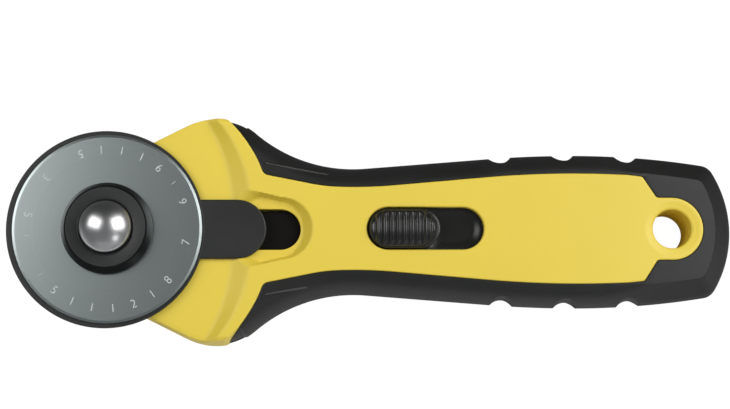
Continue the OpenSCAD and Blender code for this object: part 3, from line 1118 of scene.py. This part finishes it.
@dataclass(frozen=True)
class HandleShells:
    """The two halves of the yellow handle, with the head's step, the channel and the slots."""

    rim_round: float = 1.7
    panel_round: float = 0.3
    seam_round: float = 0.25
    slot: tuple[float, float, float] = (21.5, 45.95, 4.9)
    thumb: tuple[float, float, float] = (61.7, 89.6, 5.07)
    hole_r: float = 4.65
    hole_round: float = 0.9
    hole_back_round: float = 0.35
    dish: float = 0.25
    dish_r: float = 5.7
    bolt_r: float = 2.6
    head_screws: tuple[Point, ...] = ((27.0, 19.0), (27.0, -19.0))
    handle_screws: tuple[Point, ...] = ((106.0, 0.0), (124.0, 7.0), (124.0, -7.0))

    def build(self) -> None:
        """Makes both halves."""
        mount(self.front(), "handle", "yellow_shell", YELLOW, "front_shell")
        mount(self.back(), "handle", "yellow_shell", YELLOW, "back_shell")

    def in_slot(self, place: Vector) -> bool:
        """Says whether a place is at the edge of the guard's slot."""
        start, end, half = self.slot
        return abs(place.y) < half + 0.1 and start - 1 < place.x < end + 1

    def in_thumb(self, place: Vector) -> bool:
        """Says whether a place is at the edge of the thumb slot."""
        start, end, half = self.thumb
        return abs(place.y) < half + 0.1 and start - 1 < place.x < end + 1

    def at_hole(self, place: Vector) -> bool:
        """Says whether a place is at the edge of the hanging hole."""
        return (place.xy - Vector(OUTLINE.hole)).length < self.hole_r + 0.3

    def at_rim(self, place: Vector) -> bool:
        """Says whether a place is on the head's outer edge."""
        far = place.xy.length
        return self.bolt_r + 2 < far < OUTLINE.rubber_r - 0.1 and not self.in_slot(place)

    def at_panel(self, place: Vector) -> bool:
        """Says whether a place is on the edge that meets the rubber."""
        free = not (self.in_slot(place) or self.in_thumb(place) or self.at_hole(place))
        return place.xy.length >= OUTLINE.rubber_r - 0.1 and free

    def front(self) -> bpy.types.Object:
        """The front half: cut, rounded, then pressed into its relief.

        Returns:
            The piece.
        """
        skin = prism("front_skin", OUTLINE.island(), SPLIT_Z, FRONT_Z)
        cut(
            skin,
            prism("cut", stadium(*self.slot), 0, 20),
            prism("cut", stadium(*self.thumb), 0, 20),
            prism("cut", circle(self.hole_r, 96, OUTLINE.hole), 0, 20),
            prism("cut", circle(self.bolt_r, 48), 0, 20),
            prism("cut", [(19.5, -5.5), (49, -5.5), (49, 5.5), (19.5, 5.5)], 7, 11.8),
            prism("cut", [(51, -6.7), (101, -6.7), (101, 6.7), (51, 6.7)], 7, 14.2),
        )
        for test, width, segments in (
            (self.at_rim, self.rim_round, 6),
            (self.at_panel, self.panel_round, 3),
            (self.in_slot, 0.35, 3),
            (self.in_thumb, 0.45, 4),
            (self.at_hole, self.hole_round, 6),
        ):
            round_edges(
                skin,
                lambda e, test=test: on_level(e, FRONT_Z) and is_sharp(e) and test(middle(e)),
                width,
                segments,
            )
        round_edges(
            skin,
            lambda e: on_level(e, SPLIT_Z) and is_sharp(e) and self.at_rim(middle(e)),
            self.seam_round,
            2,
        )
        score(skin, faces_up, across_x=(52.0,))
        score(
            skin,
            lambda f: faces_up(f) and f.calc_center_median().x < 52,
            steps_between(-14.4, 51.6, 0.6),
            steps_between(-27, 27, 0.6),
        )
        score(
            skin,
            self.by_channel,
            steps_between(30.3, 50.1, 0.3),
            steps_between(-10.2, 10.2, 0.3),
        )
        score(
            skin,
            lambda f: faces_up(f) and f.calc_center_median().x > 52,
            steps_between(54, 142, 3),
            steps_between(-13, 13, 2),
        )
        score(skin, self.by_hole, steps_between(127, 142.5, 0.5), steps_between(-7.5, 7.5, 0.5))
        reshape(skin, self.pressed)
        settle(skin)
        return skin

    def by_channel(self, face: bmesh.types.BMFace) -> bool:
        """Says whether a face of the front lies on the channel's walls.

        Args:
            face: A face of the front.

        Returns:
            True on the walls and the ramp behind them.
        """
        place = face.calc_center_median()
        side = abs(place.y)
        walls = 5.5 < side < 10.5 or (place.x > 46 and side < 9.2)
        return faces_up(face) and 31 < place.x < 50 and walls

    def by_hole(self, face: bmesh.types.BMFace) -> bool:
        """Says whether a face of the front lies round the hanging hole."""
        return faces_up(face) and face.calc_center_median().x > 127.5

    def pressed(self, place: Vector) -> Vector:
        """Where a point of the flat-topped front skin goes.

        Args:
            place: The point, in millimetres about the blade's axis.

        Returns:
            The point moved.
        """
        x, y, z = place
        share = min(1.0, max(0.0, (z - 12.0) / (FRONT_Z - 12.0)))
        drop = FRONT_Z - FACES.front(x, y) + (FRONT_Z - PLATEAU_Z) * (1 - FACES.rise(x, y))
        round_hole = (place.xy - Vector(OUTLINE.hole)).length
        drop += self.dish * (1 - soft_step((round_hole - self.dish_r) / 0.7, 0.2))
        return FACES.drawn_in(Vector((x, y, z - share * drop)))

    def back(self) -> bpy.types.Object:
        """The back half, with sinks for its screws.

        Returns:
            The piece.
        """
        skin = prism("back_skin", OUTLINE.island(), 0.0, SPLIT_Z)
        sink = SPLIT_Z - (SPLIT_Z - 7.2) * SPLIT_Z / (SPLIT_Z - HEAD_BACK_Z)
        cut(
            skin,
            prism("cut", circle(self.hole_r, 96, OUTLINE.hole), -1, 20),
            prism("cut", circle(self.bolt_r, 48), -1, 20),
            *[prism("cut", circle(2.7, 48, at), -1, sink) for at in self.head_screws],
            *[prism("cut", circle(2.9, 48, at), -1, 2.8) for at in self.handle_screws],
            prism("cut", [(60, -5), (100, -5), (100, 5), (60, 5)], 7, 9),
        )
        screws = [Vector(at) for at in self.head_screws + self.handle_screws]

        def near_screw(place: Vector) -> bool:
            """Says whether a place is at the edge of a screw's sink."""
            return any((place.xy - at).length < 3.2 for at in screws)

        for test, width, segments in (
            (lambda p: self.at_rim(p) and not near_screw(p), 1.7, 6),
            (lambda p: self.at_panel(p) and not near_screw(p), self.panel_round, 3),
            (self.at_hole, self.hole_back_round, 3),
            (near_screw, 0.4, 3),
        ):
            round_edges(
                skin,
                lambda e, test=test: on_level(e, 0.0) and is_sharp(e) and test(middle(e)),
                width,
                segments,
            )
        round_edges(
            skin,
            lambda e: on_level(e, SPLIT_Z) and is_sharp(e) and self.at_rim(middle(e)),
            self.seam_round,
            2,
        )
        score(skin, lambda f: f.normal.z < 0.9, steps_between(28, 52, 1))
        score(skin, lambda f: f.normal.z < -0.2, steps_between(54, 144, 3))
        reshape(skin, FACES.back_relief)
        settle(skin)
        return skin


@dataclass(frozen=True)
class RubberGrips:
    """The soft skins over the grip's sides and butt, front and back, with finger notches."""

    reach: float = 5.3
    levels: int = 12
    crease: float = 4.6
    lip: float = 0.45
    lip_x: float = 32.7
    notches: tuple[float, ...] = (93.9, 109.3, 124.7)
    notch_r: float = 3.3
    notch_depth: float = 1.3
    notch_flare: float = 0.9
    line_x: float = 38.2
    line_long: float = 13.5
    line_y: float = 15.6
    line_fall: float = 2.4
    line_ends: tuple[float, float] = (1.05, 0.7)
    line_raise: float = 0.3

    def build(self) -> None:
        """Makes both skins."""
        front = self.skin("front_grip", True)
        mount(front, "handle", "black_rubber", RUBBER, "grip_front")
        self.paint_line_highlights(front)
        mount(self.skin("back_grip", False), "handle", "black_rubber", RUBBER, "grip_back")

    def paint_line_highlights(self, skin: bpy.types.Object) -> None:
        """Gives the crests of the two moulding lines a lighter rubber colour: a painted highlight
        along each line.

        Args:
            skin: The front skin.
        """
        skin.data.materials.append(LINE_HIGHLIGHT_RUBBER.material())
        hub = hub_place()
        # Painted highlight: crest faces along the moulding lines take the lighter rubber.
        for face in skin.data.polygons:
            place = (face.center - hub) / MM
            if place.z > 12 and self.off_line(place) < 0.13:
                face.material_index = 1

    def ring(self, angle: float, top: float, front: bool) -> Ring:
        """One ring of the skin.

        Args:
            angle: 0 at the seam and 90 where the skin reaches the face.
            top: Height of the face above or below the seam.
            front: True for the front skin.

        Returns:
            The ring's points.
        """
        share = math.sin(math.radians(angle)) ** 1.25
        inset = self.reach * (1 - math.cos(math.radians(angle)))
        crease = math.sin(math.radians(75)) ** 1.25
        steep = min(1.0, share / crease)
        slanted = 0.15 + max(0.0, steep - 0.22) / 0.78 * (self.crease - 0.15)
        if angle > 75:
            slanted = self.crease + (self.reach - self.crease) * (angle - 75) / 15
        flat, soft = OUTLINE.ring(0), OUTLINE.ring(inset)
        slant, tucked = OUTLINE.ring(slanted), OUTLINE.ring(inset + self.lip)
        points = []
        for i, (x, _) in enumerate(flat):
            butt = min(1.0, max(0.0, (x - 118) / 12)) if front else 0.0
            near = Vector(tucked[i] if x < self.lip_x else soft[i])
            spot = near.lerp(Vector(slant[i]), butt)
            points.append((spot.x, spot.y, SPLIT_Z + top * (share + (steep - share) * butt)))
        return points

    def at_seam_line(self, face: bmesh.types.BMFace, side: int) -> bool:
        """Says whether a face lies near the thin moulding line on one side of the neck."""
        place = face.calc_center_median()
        return face.normal.z > 0.3 and 34 < place.x < 56 and 10 < side * place.y < 19

    def off_line(self, place: Vector) -> float:
        """Distance in plan from the nearer moulding line; large beyond its ends.

        Args:
            place: The point, in millimetres about the blade's axis.

        Returns:
            The distance in millimetres.
        """
        along = (place.x - self.line_x) / self.line_long
        if not -0.05 < along < self.line_ends[0 if place.y > 0 else 1]:
            return 9.0
        return abs(abs(place.y) - (self.line_y - self.line_fall * along))

    def lined(self, place: Vector) -> Vector:
        """Where a point of the front skin goes: up, on the moulding line beside the neck.

        Args:
            place: The point, in millimetres about the blade's axis.

        Returns:
            The point moved.
        """
        x, y, z = place
        if z < 12:
            return place
        near = max(0.0, 1 - self.off_line(place) / self.line_raise)
        return Vector((x, y, z + self.line_raise * near))

    def side(self, x: float) -> float:
        """Half width of the handle at x, along the grip.

        Args:
            x: Distance along the handle from the blade's axis.

        Returns:
            The half width.
        """
        centre, radius = (OUTLINE.belly, OUTLINE.belly_r)
        if x > OUTLINE.belly[0]:
            centre, radius = (OUTLINE.butt, OUTLINE.butt_r)
        return centre[1] + math.sqrt(radius**2 - (x - centre[0]) ** 2)

    def notch(self, x: float, side: int, front: bool) -> bpy.types.Object:
        """A cutter for one finger notch, wider towards the face.

        Args:
            x: The notch's place along the handle.
            side: 1 for the upper side, -1 for the lower.
            front: True for the front skin.

        Returns:
            The cutter.
        """
        deselect_all()
        wide = self.notch_r + self.notch_flare
        radii = (self.notch_r, wide) if front else (wide, self.notch_r)
        low = SPLIT_Z - 0.5 if front else -0.5
        y = side * (self.side(x) - self.notch_depth + self.notch_r)
        bpy.ops.mesh.primitive_cone_add(
            vertices=64, radius1=radii[0], radius2=radii[1], depth=9, location=(x, y, low + 4.5)
        )
        cutter = bpy.context.object
        bpy.ops.object.transform_apply(location=True, rotation=True, scale=True)
        return cutter

    def skin(self, name: str, front: bool) -> bpy.types.Object:
        """One skin: lofted round the handle, cut to the yellow shape, notched and rounded.

        Args:
            name: Name of the piece.
            front: True for the front skin.

        Returns:
            The piece.
        """
        top = FRONT_Z - RUBBER_DROP - SPLIT_Z if front else RUBBER_DROP - SPLIT_Z
        angles = [90 * i / self.levels for i in range(self.levels + 1)]
        seam = [(x, y, SPLIT_Z) for x, y in OUTLINE.ring(0.25)]
        rings = [seam] + [self.ring(max(angle, 3.0), top, front) for angle in angles]
        skin = loft(name, rings)
        cut(skin, prism("cut", OUTLINE.island(), -2, 20))
        cut(skin, *[self.notch(x, side, front) for x in self.notches for side in (-1, 1)])
        face = SPLIT_Z + top
        round_edges(skin, lambda e: on_level(e, face) and is_sharp(e, 60), 0.3, 3)
        flat = (lambda f: f.normal.z > 0.98) if front else (lambda f: f.normal.z < -0.98)
        score(skin, flat, steps_between(30, 148, 2), steps_between(-24, 24, 3))
        if front:
            for side in (-1, 1):
                score(
                    skin,
                    lambda f, side=side: self.at_seam_line(f, side),
                    steps_between(37, 53, 0.8),
                    [side * y for y in steps_between(12.4, 16.4, 0.14)],
                )
            reshape(skin, self.lined)
        reshape(skin, FACES.rubber_relief if front else FACES.back_relief)
        settle(skin, 40)
        return skin


@dataclass(frozen=True)
class GuardSlide:
    """The sliding guard with its tongue, the carriage under the shell, and the thumb button."""

    guard_x: float = -0.45
    guard_r: float = 23.6
    guard_z: tuple[float, float] = (13.6, 14.8)
    tongue: tuple[float, float, float] = (0.0, 37.8, 7.1)
    tongue_drop: float = 0.22
    button: tuple[float, float, float] = (62.2, 79.2, 4.7)
    ribbed: tuple[float, float, float] = (62.4, 78.1, 4.35)
    rib_pitch: float = 1.57
    rib_x: float = 70.45
    rib_deep: float = 0.5
    rib_sharp: float = 1.6
    crown_r: tuple[float, float] = (64.0, 18.0)
    dish_x: float = 84.3
    dish_start: float = 76.5
    dish_deep: float = 0.7

    def build(self) -> None:
        """Makes the three pieces."""
        mount(self.guard(), "slider", "black_plastic", GUARD_PLASTIC, "guard")
        mount(self.plate(), "slider", "black_plastic", BUTTON_PLASTIC, "slide_carriage")
        # The bar takes the darker plastic: painted shade in the slot.
        mount(self.bar(), "slider", "black_plastic", BAR_SHADE_PLASTIC, "slide_carriage")
        mount(self.thumb_button(), "slider", "black_plastic", BUTTON_PLASTIC, "thumb_button")

    def guard(self) -> bpy.types.Object:
        """The disc behind the blade, its tongue, and the stem in the slot.

        Returns:
            The piece.
        """
        low, high = self.guard_z
        disc = prism("blade_guard", circle(self.guard_r, 192, (self.guard_x, 0)), low, high)
        round_edges(disc, lambda e: is_sharp(e), 0.32, 4)
        tongue = prism("tongue", stadium(*self.tongue), low, high - self.tongue_drop)
        round_edges(tongue, lambda e: on_level(e, high - self.tongue_drop), 0.45, 4)
        combine(disc, tongue, "UNION")
        combine(disc, prism("stem", stadium(22, 37.7, 4.6), 11.6, low + 0.2), "UNION")
        cut(disc, prism("cut", stadium(-13.75, 5.75, 5.75), 10, 20))
        settle(disc, 30)
        return disc

    def plate(self) -> bpy.types.Object:
        """The dished plate that fills the thumb slot, with a web under it.

        Returns:
            The piece.
        """
        plate = self.bar_piece("slide_plate", 52.5, 91.5, 6.4, 12.6, 14.0)
        combine(plate, self.bar_piece("web", 52.5, 91.5, 4.6, 11.4, 12.8), "UNION")
        round_edges(plate, lambda e: on_level(e, 14.0) and is_sharp(e), 0.2, 2)
        score(
            plate,
            lambda f: f.normal.z > 0.9 and f.calc_center_median().z > 13.9,
            steps_between(76, 91, 0.5),
            steps_between(-6, 6, 0.5),
        )
        reshape(plate, self.dished)
        settle(plate)
        return plate

    def bar(self) -> bpy.types.Object:
        """The bar under the shell that joins the button to the guard, in a darker, duller plastic
        than the plate: painted shade for the slot that it is seen through.

        Returns:
            The piece.
        """
        bar = prism("slide_bar", stadium(21, 60, 4.6), 9.4, 11.4)
        combine(bar, self.bar_piece("rear", 50, 91.5, 4.6, 9.4, 11.4), "UNION")
        round_edges(bar, lambda e: on_level(e, 11.4) and is_sharp(e), 0.25, 2)
        settle(bar)
        return bar

    def bar_piece(
        self, name: str, start: float, end: float, half: float, low: float, high: float
    ) -> bpy.types.Object:
        """A square-ended bar along X.

        Args:
            name: Name of the piece.
            start: Its left end.
            end: Its right end.
            half: Half of its width.
            low: Height of its underside.
            high: Height of its top.

        Returns:
            The bar.
        """
        return prism(name, [(start, -half), (end, -half), (end, half), (start, half)], low, high)

    def dished(self, place: Vector) -> Vector:
        """Where a point of the plate's flat top goes: down, with a round end.

        Args:
            place: The point, in millimetres about the blade's axis.

        Returns:
            The point moved.
        """
        x, y, z = place
        if z < 13.9 or x < self.dish_start:
            return Vector((x, y, z))
        away = math.hypot(x - self.dish_x, y) if x > self.dish_x else abs(y)
        depth = self.dish_deep * (1 - soft_step((away - 3.0) / 1.6, 0.3))
        return Vector((x, y, z - depth * min(1.0, (x - self.dish_start) / 1.5)))

    def crowned(self, place: Vector) -> Vector:
        """Where a point of the button's flat top goes: a crown with ribs across it.

        Args:
            place: The point, in millimetres about the blade's axis.

        Returns:
            The point moved.
        """
        x, y, z = place
        share = min(1.0, max(0.0, (z - 15.6) / 2.6))
        out = x - self.rib_x
        crown = out**2 / self.crown_r[0] + y**2 / self.crown_r[1]
        wave = 0.5 + 0.5 * math.cos(2 * math.pi * out / self.rib_pitch)
        ribs = 1 - wave**self.rib_sharp
        ends = 1 - soft_step((abs(x - 70.2) - 6.6) / 0.9, 0.2)
        across = 1 - soft_step((abs(y) - 3.1) / 1.2, 0.3)
        return Vector((x, y, z - share * (crown + self.rib_deep * ribs * ends * across)))

    def thumb_button(self) -> bpy.types.Object:
        """The button: a base plate with a ribbed dome on it.

        Returns:
            The piece.
        """
        base = prism("slide_button", stadium(*self.button), 14.0, 16.3)
        round_edges(base, lambda e: on_level(e, 16.3), 0.4, 3)
        dome = prism("dome", stadium(*self.ribbed), 15.5, 18.3)
        round_edges(dome, lambda e: on_level(e, 18.3), 0.9, 5)
        score(dome, faces_up, steps_between(62.6, 77.9, 0.17), steps_between(-4.2, 4.2, 0.5))
        reshape(dome, self.crowned)
        combine(base, dome, "UNION")
        settle(base, 50, weighted=False)
        return base


@dataclass(frozen=True)
class BladeHub:
    """The round blade with its dial of marks, the holding plate and the domed bolt."""

    blade_r: float = 22.5
    bore_r: float = 4.05
    blade_z: tuple[float, float] = (15.1, 15.4)
    grind: float = 0.6
    mark_r: float = 19.1
    mark_size: float = 2.9
    mark_turn: float = 15.0
    mark_start: float = 110.0
    marks: str = "51/19-6 7 8121115- .5 3 "
    washer_r: float = 10.9
    dome_r: float = 6.15
    dome_base: float = 20.35
    dome_h: float = 3.0

    def build(self) -> None:
        """Makes the blade, its marks, the plate and the bolt."""
        mount(self.blade(), "blade_disc", "blade_steel", GROUND_STEEL, "blade")
        mount(self.markings(), "blade_disc", "blade_steel", ETCHED)
        mount(self.washer(), "handle", "hub_plastic", HUB_PLASTIC, "hub_washer")
        mount(self.rim(), "handle", "hub_plastic", RIM_PLASTIC, "hub_washer")
        mount(self.bolt(), "handle", "chrome", CHROME, "pivot_bolt")

    def blade(self) -> bpy.types.Object:
        """The blade: a thin disc ground to an edge.

        Returns:
            The piece.
        """
        low, high = self.blade_z
        flat_r = self.blade_r - self.grind
        profile = [
            (self.bore_r, low), (self.bore_r, high), (flat_r, high),
            (self.blade_r, (low + high) / 2), (flat_r, low),
        ]
        obj = turned("rotary_blade", profile, 256, closed=True)
        settle(obj, 6, weighted=False)
        return obj

    def markings(self) -> bpy.types.Object:
        """Etched digits and strokes round the blade, their feet outwards.

        Returns:
            The piece.
        """
        pieces = []
        for number, sign in enumerate(self.marks):
            if sign == " ":
                continue
            turn = math.radians(self.mark_start - number * self.mark_turn)
            deselect_all()
            bpy.ops.object.text_add()
            text = bpy.context.object
            text.data.body = "1" if sign in "/-." else sign
            text.data.align_x = "CENTER"
            text.data.align_y = "CENTER"
            text.data.size = self.mark_size * (0.7 if sign in "-." else 1.0)
            text.data.resolution_u = 3
            text.data.extrude = 0.006
            text.data.offset = -0.035
            bpy.ops.object.convert(target="MESH")
            place = Vector((math.cos(turn), math.sin(turn), 0)) * self.mark_r
            place.z = self.blade_z[1] + 0.006
            text.data.transform(
                Matrix.Translation(place) @ Matrix.Rotation(turn + math.pi / 2, 4, "Z")
            )
            pieces.append(text)
        deselect_all()
        for piece in pieces:
            piece.select_set(True)
        bpy.context.view_layer.objects.active = pieces[0]
        bpy.ops.object.join()
        marks = pieces[0]
        marks.name = marks.data.name = "blade_markings"
        with editing(marks):
            bpy.ops.mesh.select_all(action="SELECT")
            bpy.ops.mesh.remove_doubles(threshold=0.0005)
        settle(marks, 20, weighted=False)
        return marks

    def washer(self) -> bpy.types.Object:
        """The holding plate: a slightly dished face and a well for the bolt.

        Returns:
            The piece.
        """
        r = self.washer_r
        profile = [
            (2.6, 15.6), (r - 1.3, 15.6), (r - 1.3, 19.2), (7.0, 19.08), (6.72, 19.03),
            (6.5, 18.86), (6.45, 18.6), (6.45, 17.45), (2.6, 17.45),
        ]
        obj = turned("holding_plate", profile, 160, closed=True)
        settle(obj, 30, weighted=False)
        return obj

    def rim(self) -> bpy.types.Object:
        """The plate's slanted rim, smoother and darker than its face.

        Returns:
            The piece.
        """
        r = self.washer_r
        profile = [
            (r - 2.2, 15.45), (r - 0.1, 15.45), (r, 15.55), (r, 16.2), (r - 0.06, 16.4),
            (r - 1.1, 18.95), (r - 1.2, 19.13), (r - 1.3, 19.2), (r - 1.45, 19.2),
            (r - 1.5, 19.0), (r - 2.2, 18.9),
        ]
        obj = turned("plate_rim", profile, 160, closed=True)
        settle(obj, 30, weighted=False)
        return obj

    def bolt(self) -> bpy.types.Object:
        """The bolt: a shank and a round head with a low dome.

        Returns:
            The piece.
        """
        sphere_r = (self.dome_r**2 + self.dome_h**2) / (2 * self.dome_h)
        top = self.dome_base + self.dome_h
        start = math.degrees(math.asin(self.dome_r / sphere_r))
        profile = [(2.1, 1.2), (2.5, 1.6), (2.5, 17.5), (5.95, 17.5), (self.dome_r, 17.7)]
        profile += [(self.dome_r, self.dome_base - 0.35)]
        for i in range(21):
            angle = math.radians(start * (1 - 0.02) * (1 - i / 20))
            profile.append(
                (sphere_r * math.sin(angle), top - sphere_r * (1 - math.cos(angle)))
            )
        profile[-1] = (0.0, top)
        obj = turned("domed_bolt", profile, 96)
        settle(obj, 32, weighted=False)
        return obj


@dataclass(frozen=True)
class BackHardware:
    """The finger nut behind the head, and the small parts that keep their CAD shape."""

    nut_r: float = 8.9
    lobe: float = 0.75
    lobes: int = 12
    nut_z: tuple[float, float] = (0.6, 4.0)

    def build(self) -> None:
        """Makes the nut and dresses the CAD parts that stay."""
        mount(self.nut(), "finger_nut", "black_plastic", GUARD_PLASTIC, "lock_nut")
        for finish, names in (
            (PLATED, ("detent_spring", "guard_screws", "button_screw", "keyed_washer")),
            (PLATED, ("spring_washer", "blade_bush", "head_screws", "handle_screws")),
            (BRASS, ("nut_insert",)),
        ):
            for name in names:
                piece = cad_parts[name]
                for slot in piece.material_slots:
                    slot.material = finish.material()
                LOG.info("%s: CAD shape kept", name)

    def plan(self, inset: float) -> Plan:
        """The nut's scalloped outline, moved in by inset.

        Args:
            inset: How far the outline is moved in.

        Returns:
            The outline.
        """
        points = []
        for i in range(240):
            turn = 2 * math.pi * i / 240
            wave = 0.5 + 0.5 * math.cos(self.lobes * turn)
            radius = self.nut_r - inset + self.lobe * (wave**0.6 * 1.3 - 0.5)
            points.append((radius * math.cos(turn), radius * math.sin(turn)))
        return points

    def nut(self) -> bpy.types.Object:
        """The finger nut, with a raised collar round its insert.

        Returns:
            The piece.
        """
        low, high = self.nut_z
        rings = []
        for inset, z in (
            (0.5, high), (0.12, high - 0.15), (0, high - 0.45), (0, low + 0.9), (0.2, low + 0.4),
            (0.6, low + 0.2), (1.1, low + 0.18), (1.5, low + 0.55), (3.0, low + 0.6),
        ):
            rings.append([(x, y, z) for x, y in self.plan(inset)])
        rings.append([(x, y, low + 0.15) for x, y in circle(5.4, 240)])
        rings.append([(x, y, low) for x, y in circle(5.1, 240)])
        nut = loft("finger_nut", rings)
        cut(nut, prism("cut", circle(4.0, 64), -2, 8))
        settle(nut, 40, weighted=False)
        return nut


# ------------------------------------------------------------------- studio


@dataclass(frozen=True)
class Softbox:
    """One soft lamp."""

    name: str
    towards: tuple[float, float, float]
    far: float
    wide: float
    high: float
    power: float
    colour: tuple[float, float, float] = (1.0, 1.0, 1.0)

    def place(self, target: Vector) -> None:
        """Hangs the lamp in its direction from the target and aims it there.

        Args:
            target: The point that the lamp is aimed at.
        """
        lamp = bpy.data.lights.new(self.name, "AREA")
        lamp.shape = "RECTANGLE"
        lamp.size = self.wide
        lamp.size_y = self.high
        lamp.energy = self.power
        lamp.color = self.colour
        obj = bpy.data.objects.new(self.name, lamp)
        bpy.context.scene.collection.objects.link(obj)
        way = Vector(self.towards).normalized()
        obj.location = target + way * self.far
        obj.rotation_euler = way.to_track_quat("Z", "Y").to_euler()


@dataclass(frozen=True)
class Studio:
    """White floor, soft lamps and the camera that looks down on the cutter."""

    camera_at: tuple[float, float, float] = (51.26, -52.34, 465.0)
    lens: float = 93.81
    pitch: float = 7.362
    yaw: float = 1.263
    floor_size: float = 4.0
    world: float = 0.37
    near: float = 0.26
    far: float = 0.03
    lamps: tuple[Softbox, ...] = (
        Softbox("key_right", (0.68, 0.22, 0.69), 0.75, 0.46, 0.50, 3.35),
        Softbox("left_box", (-0.57, 0.24, 0.78), 0.31, 0.17, 0.24, 0.34),
        Softbox("low_right", (0.54, -0.58, 0.60), 0.8, 0.20, 0.20, 0.3),
        Softbox("low_front", (0.10, -0.90, 0.42), 0.9, 1.20, 0.30, 0.22),
    )

    def build(self) -> None:
        """Sets up the floor, the world, the lamps and the camera."""
        self.floor()
        self.surroundings()
        for lamp in self.lamps:
            lamp.place(hub_place())
        self.camera()
        bpy.context.scene.view_settings.view_transform = "Standard"

    def floor(self) -> None:
        """A white floor just under the cutter, bright enough to hide its own shadows."""
        deselect_all()
        low = CAD_BOUNDS[0][2] - 0.0001
        bpy.ops.mesh.primitive_plane_add(size=self.floor_size, location=(0, 0, 0))
        obj = bpy.context.object
        obj.name = "studio_floor"
        obj.data.transform(Matrix.Translation((0, 0, low)))
        material = bpy.data.materials.new("white_paper")
        material.use_nodes = True
        nodes = Nodes(material.node_tree)
        paper = nodes.add("BsdfDiffuse")
        paper.inputs["Color"].default_value = (0.86, 0.86, 0.86, 1.0)
        glow = nodes.add("Emission")
        glow.inputs["Color"].default_value = (1.0, 1.0, 1.0, 1.0)
        glow.inputs["Strength"].default_value = 1.05
        mix = nodes.add("MixShader")
        rays = nodes.add("LightPath")
        seen = rays.outputs["Is Camera Ray"]
        nodes.link(nodes.maths("MULTIPLY", seen, 0.94), mix.inputs["Fac"])
        nodes.link(paper.outputs[0], mix.inputs[1])
        nodes.link(glow.outputs[0], mix.inputs[2])
        dark = nodes.add("BsdfDiffuse")
        split = nodes.add("SeparateXYZ")
        nodes.link(nodes.add("TexCoord").outputs["Object"], split.inputs[0])
        fade = nodes.add("MapRange", clamp=True)
        for title, value in (
            ("From Min", -0.06), ("From Max", 0.03), ("To Min", 0.95), ("To Max", 0.08)
        ):
            fade.inputs[title].default_value = value
        nodes.link(split.outputs["Y"], fade.inputs["Value"])
        nodes.link(fade.outputs[0], dark.inputs["Color"])
        mirrored_floor = nodes.add("MixShader")
        nodes.link(rays.outputs["Is Glossy Ray"], mirrored_floor.inputs["Fac"])
        nodes.link(mix.outputs[0], mirrored_floor.inputs[1])
        nodes.link(dark.outputs[0], mirrored_floor.inputs[2])
        clear = nodes.add("BsdfTransparent")
        one_sided = nodes.add("MixShader")
        nodes.link(nodes.add("NewGeometry").outputs["Backfacing"], one_sided.inputs["Fac"])
        nodes.link(mirrored_floor.outputs[0], one_sided.inputs[1])
        nodes.link(clear.outputs[0], one_sided.inputs[2])
        nodes.link(one_sided.outputs[0], nodes.add("OutputMaterial").inputs["Surface"])
        obj.data.materials.append(material)

    def surroundings(self) -> None:
        """An even pale room, dimmer where it is seen in polished parts."""
        world = bpy.data.worlds.new("studio_world")
        bpy.context.scene.world = world
        world.use_nodes = True
        nodes = Nodes(world.node_tree)
        room = nodes.add("Background")
        room.inputs["Color"].default_value = (1.0, 1.0, 1.0, 1.0)
        room.inputs["Strength"].default_value = self.world
        dim = nodes.add("Background")
        dim.inputs["Color"].default_value = (0.92, 0.97, 1.0, 1.0)
        split = nodes.add("SeparateXYZ")
        nodes.link(nodes.add("TexCoord").outputs["Generated"], split.inputs[0])
        fade = nodes.add("MapRange", clamp=True)
        for title, value in (
            ("From Min", -0.95), ("From Max", 0.35), ("To Min", self.near), ("To Max", self.far)
        ):
            fade.inputs[title].default_value = value
        nodes.link(split.outputs["Y"], fade.inputs["Value"])
        nodes.link(fade.outputs[0], dim.inputs["Strength"])
        mix = nodes.add("MixShader")
        nodes.link(nodes.add("LightPath").outputs["Is Glossy Ray"], mix.inputs["Fac"])
        nodes.link(room.outputs[0], mix.inputs[1])
        nodes.link(dim.outputs[0], mix.inputs[2])
        nodes.link(mix.outputs[0], nodes.add("OutputWorld").inputs["Surface"])

    def camera(self) -> None:
        """The camera, nearly overhead and tipped a little from the near side."""
        data = bpy.data.cameras.new("camera")
        data.lens = self.lens
        data.sensor_width = 36.0
        data.clip_start = 0.01
        obj = bpy.data.objects.new("camera", data)
        bpy.context.scene.collection.objects.link(obj)
        pitch, yaw = math.radians(self.pitch), math.radians(self.yaw)
        back = Vector((0, -math.sin(pitch), math.cos(pitch)))
        up = Vector((0, math.cos(pitch), math.sin(pitch)))
        right = Vector((1, 0, 0))
        turned_back = back * math.cos(yaw) - right * math.sin(yaw)
        turned_right = right * math.cos(yaw) + back * math.sin(yaw)
        spot = hub_place() + Vector(self.camera_at) * MM
        turn = Matrix((turned_right, up, turned_back)).transposed().to_4x4()
        obj.matrix_world = Matrix.Translation(spot) @ turn
        bpy.context.scene.camera = obj


def main() -> None:
    """Builds the cutter, sub-assembly by sub-assembly, and the studio round it."""
    logging.basicConfig(level=logging.INFO, format="%(name)s: %(message)s", stream=sys.stdout)
    HandleShells().build()
    RubberGrips().build()
    GuardSlide().build()
    BladeHub().build()
    BackHardware().build()
    Studio().build()


if __name__ == "__main__":
    main()
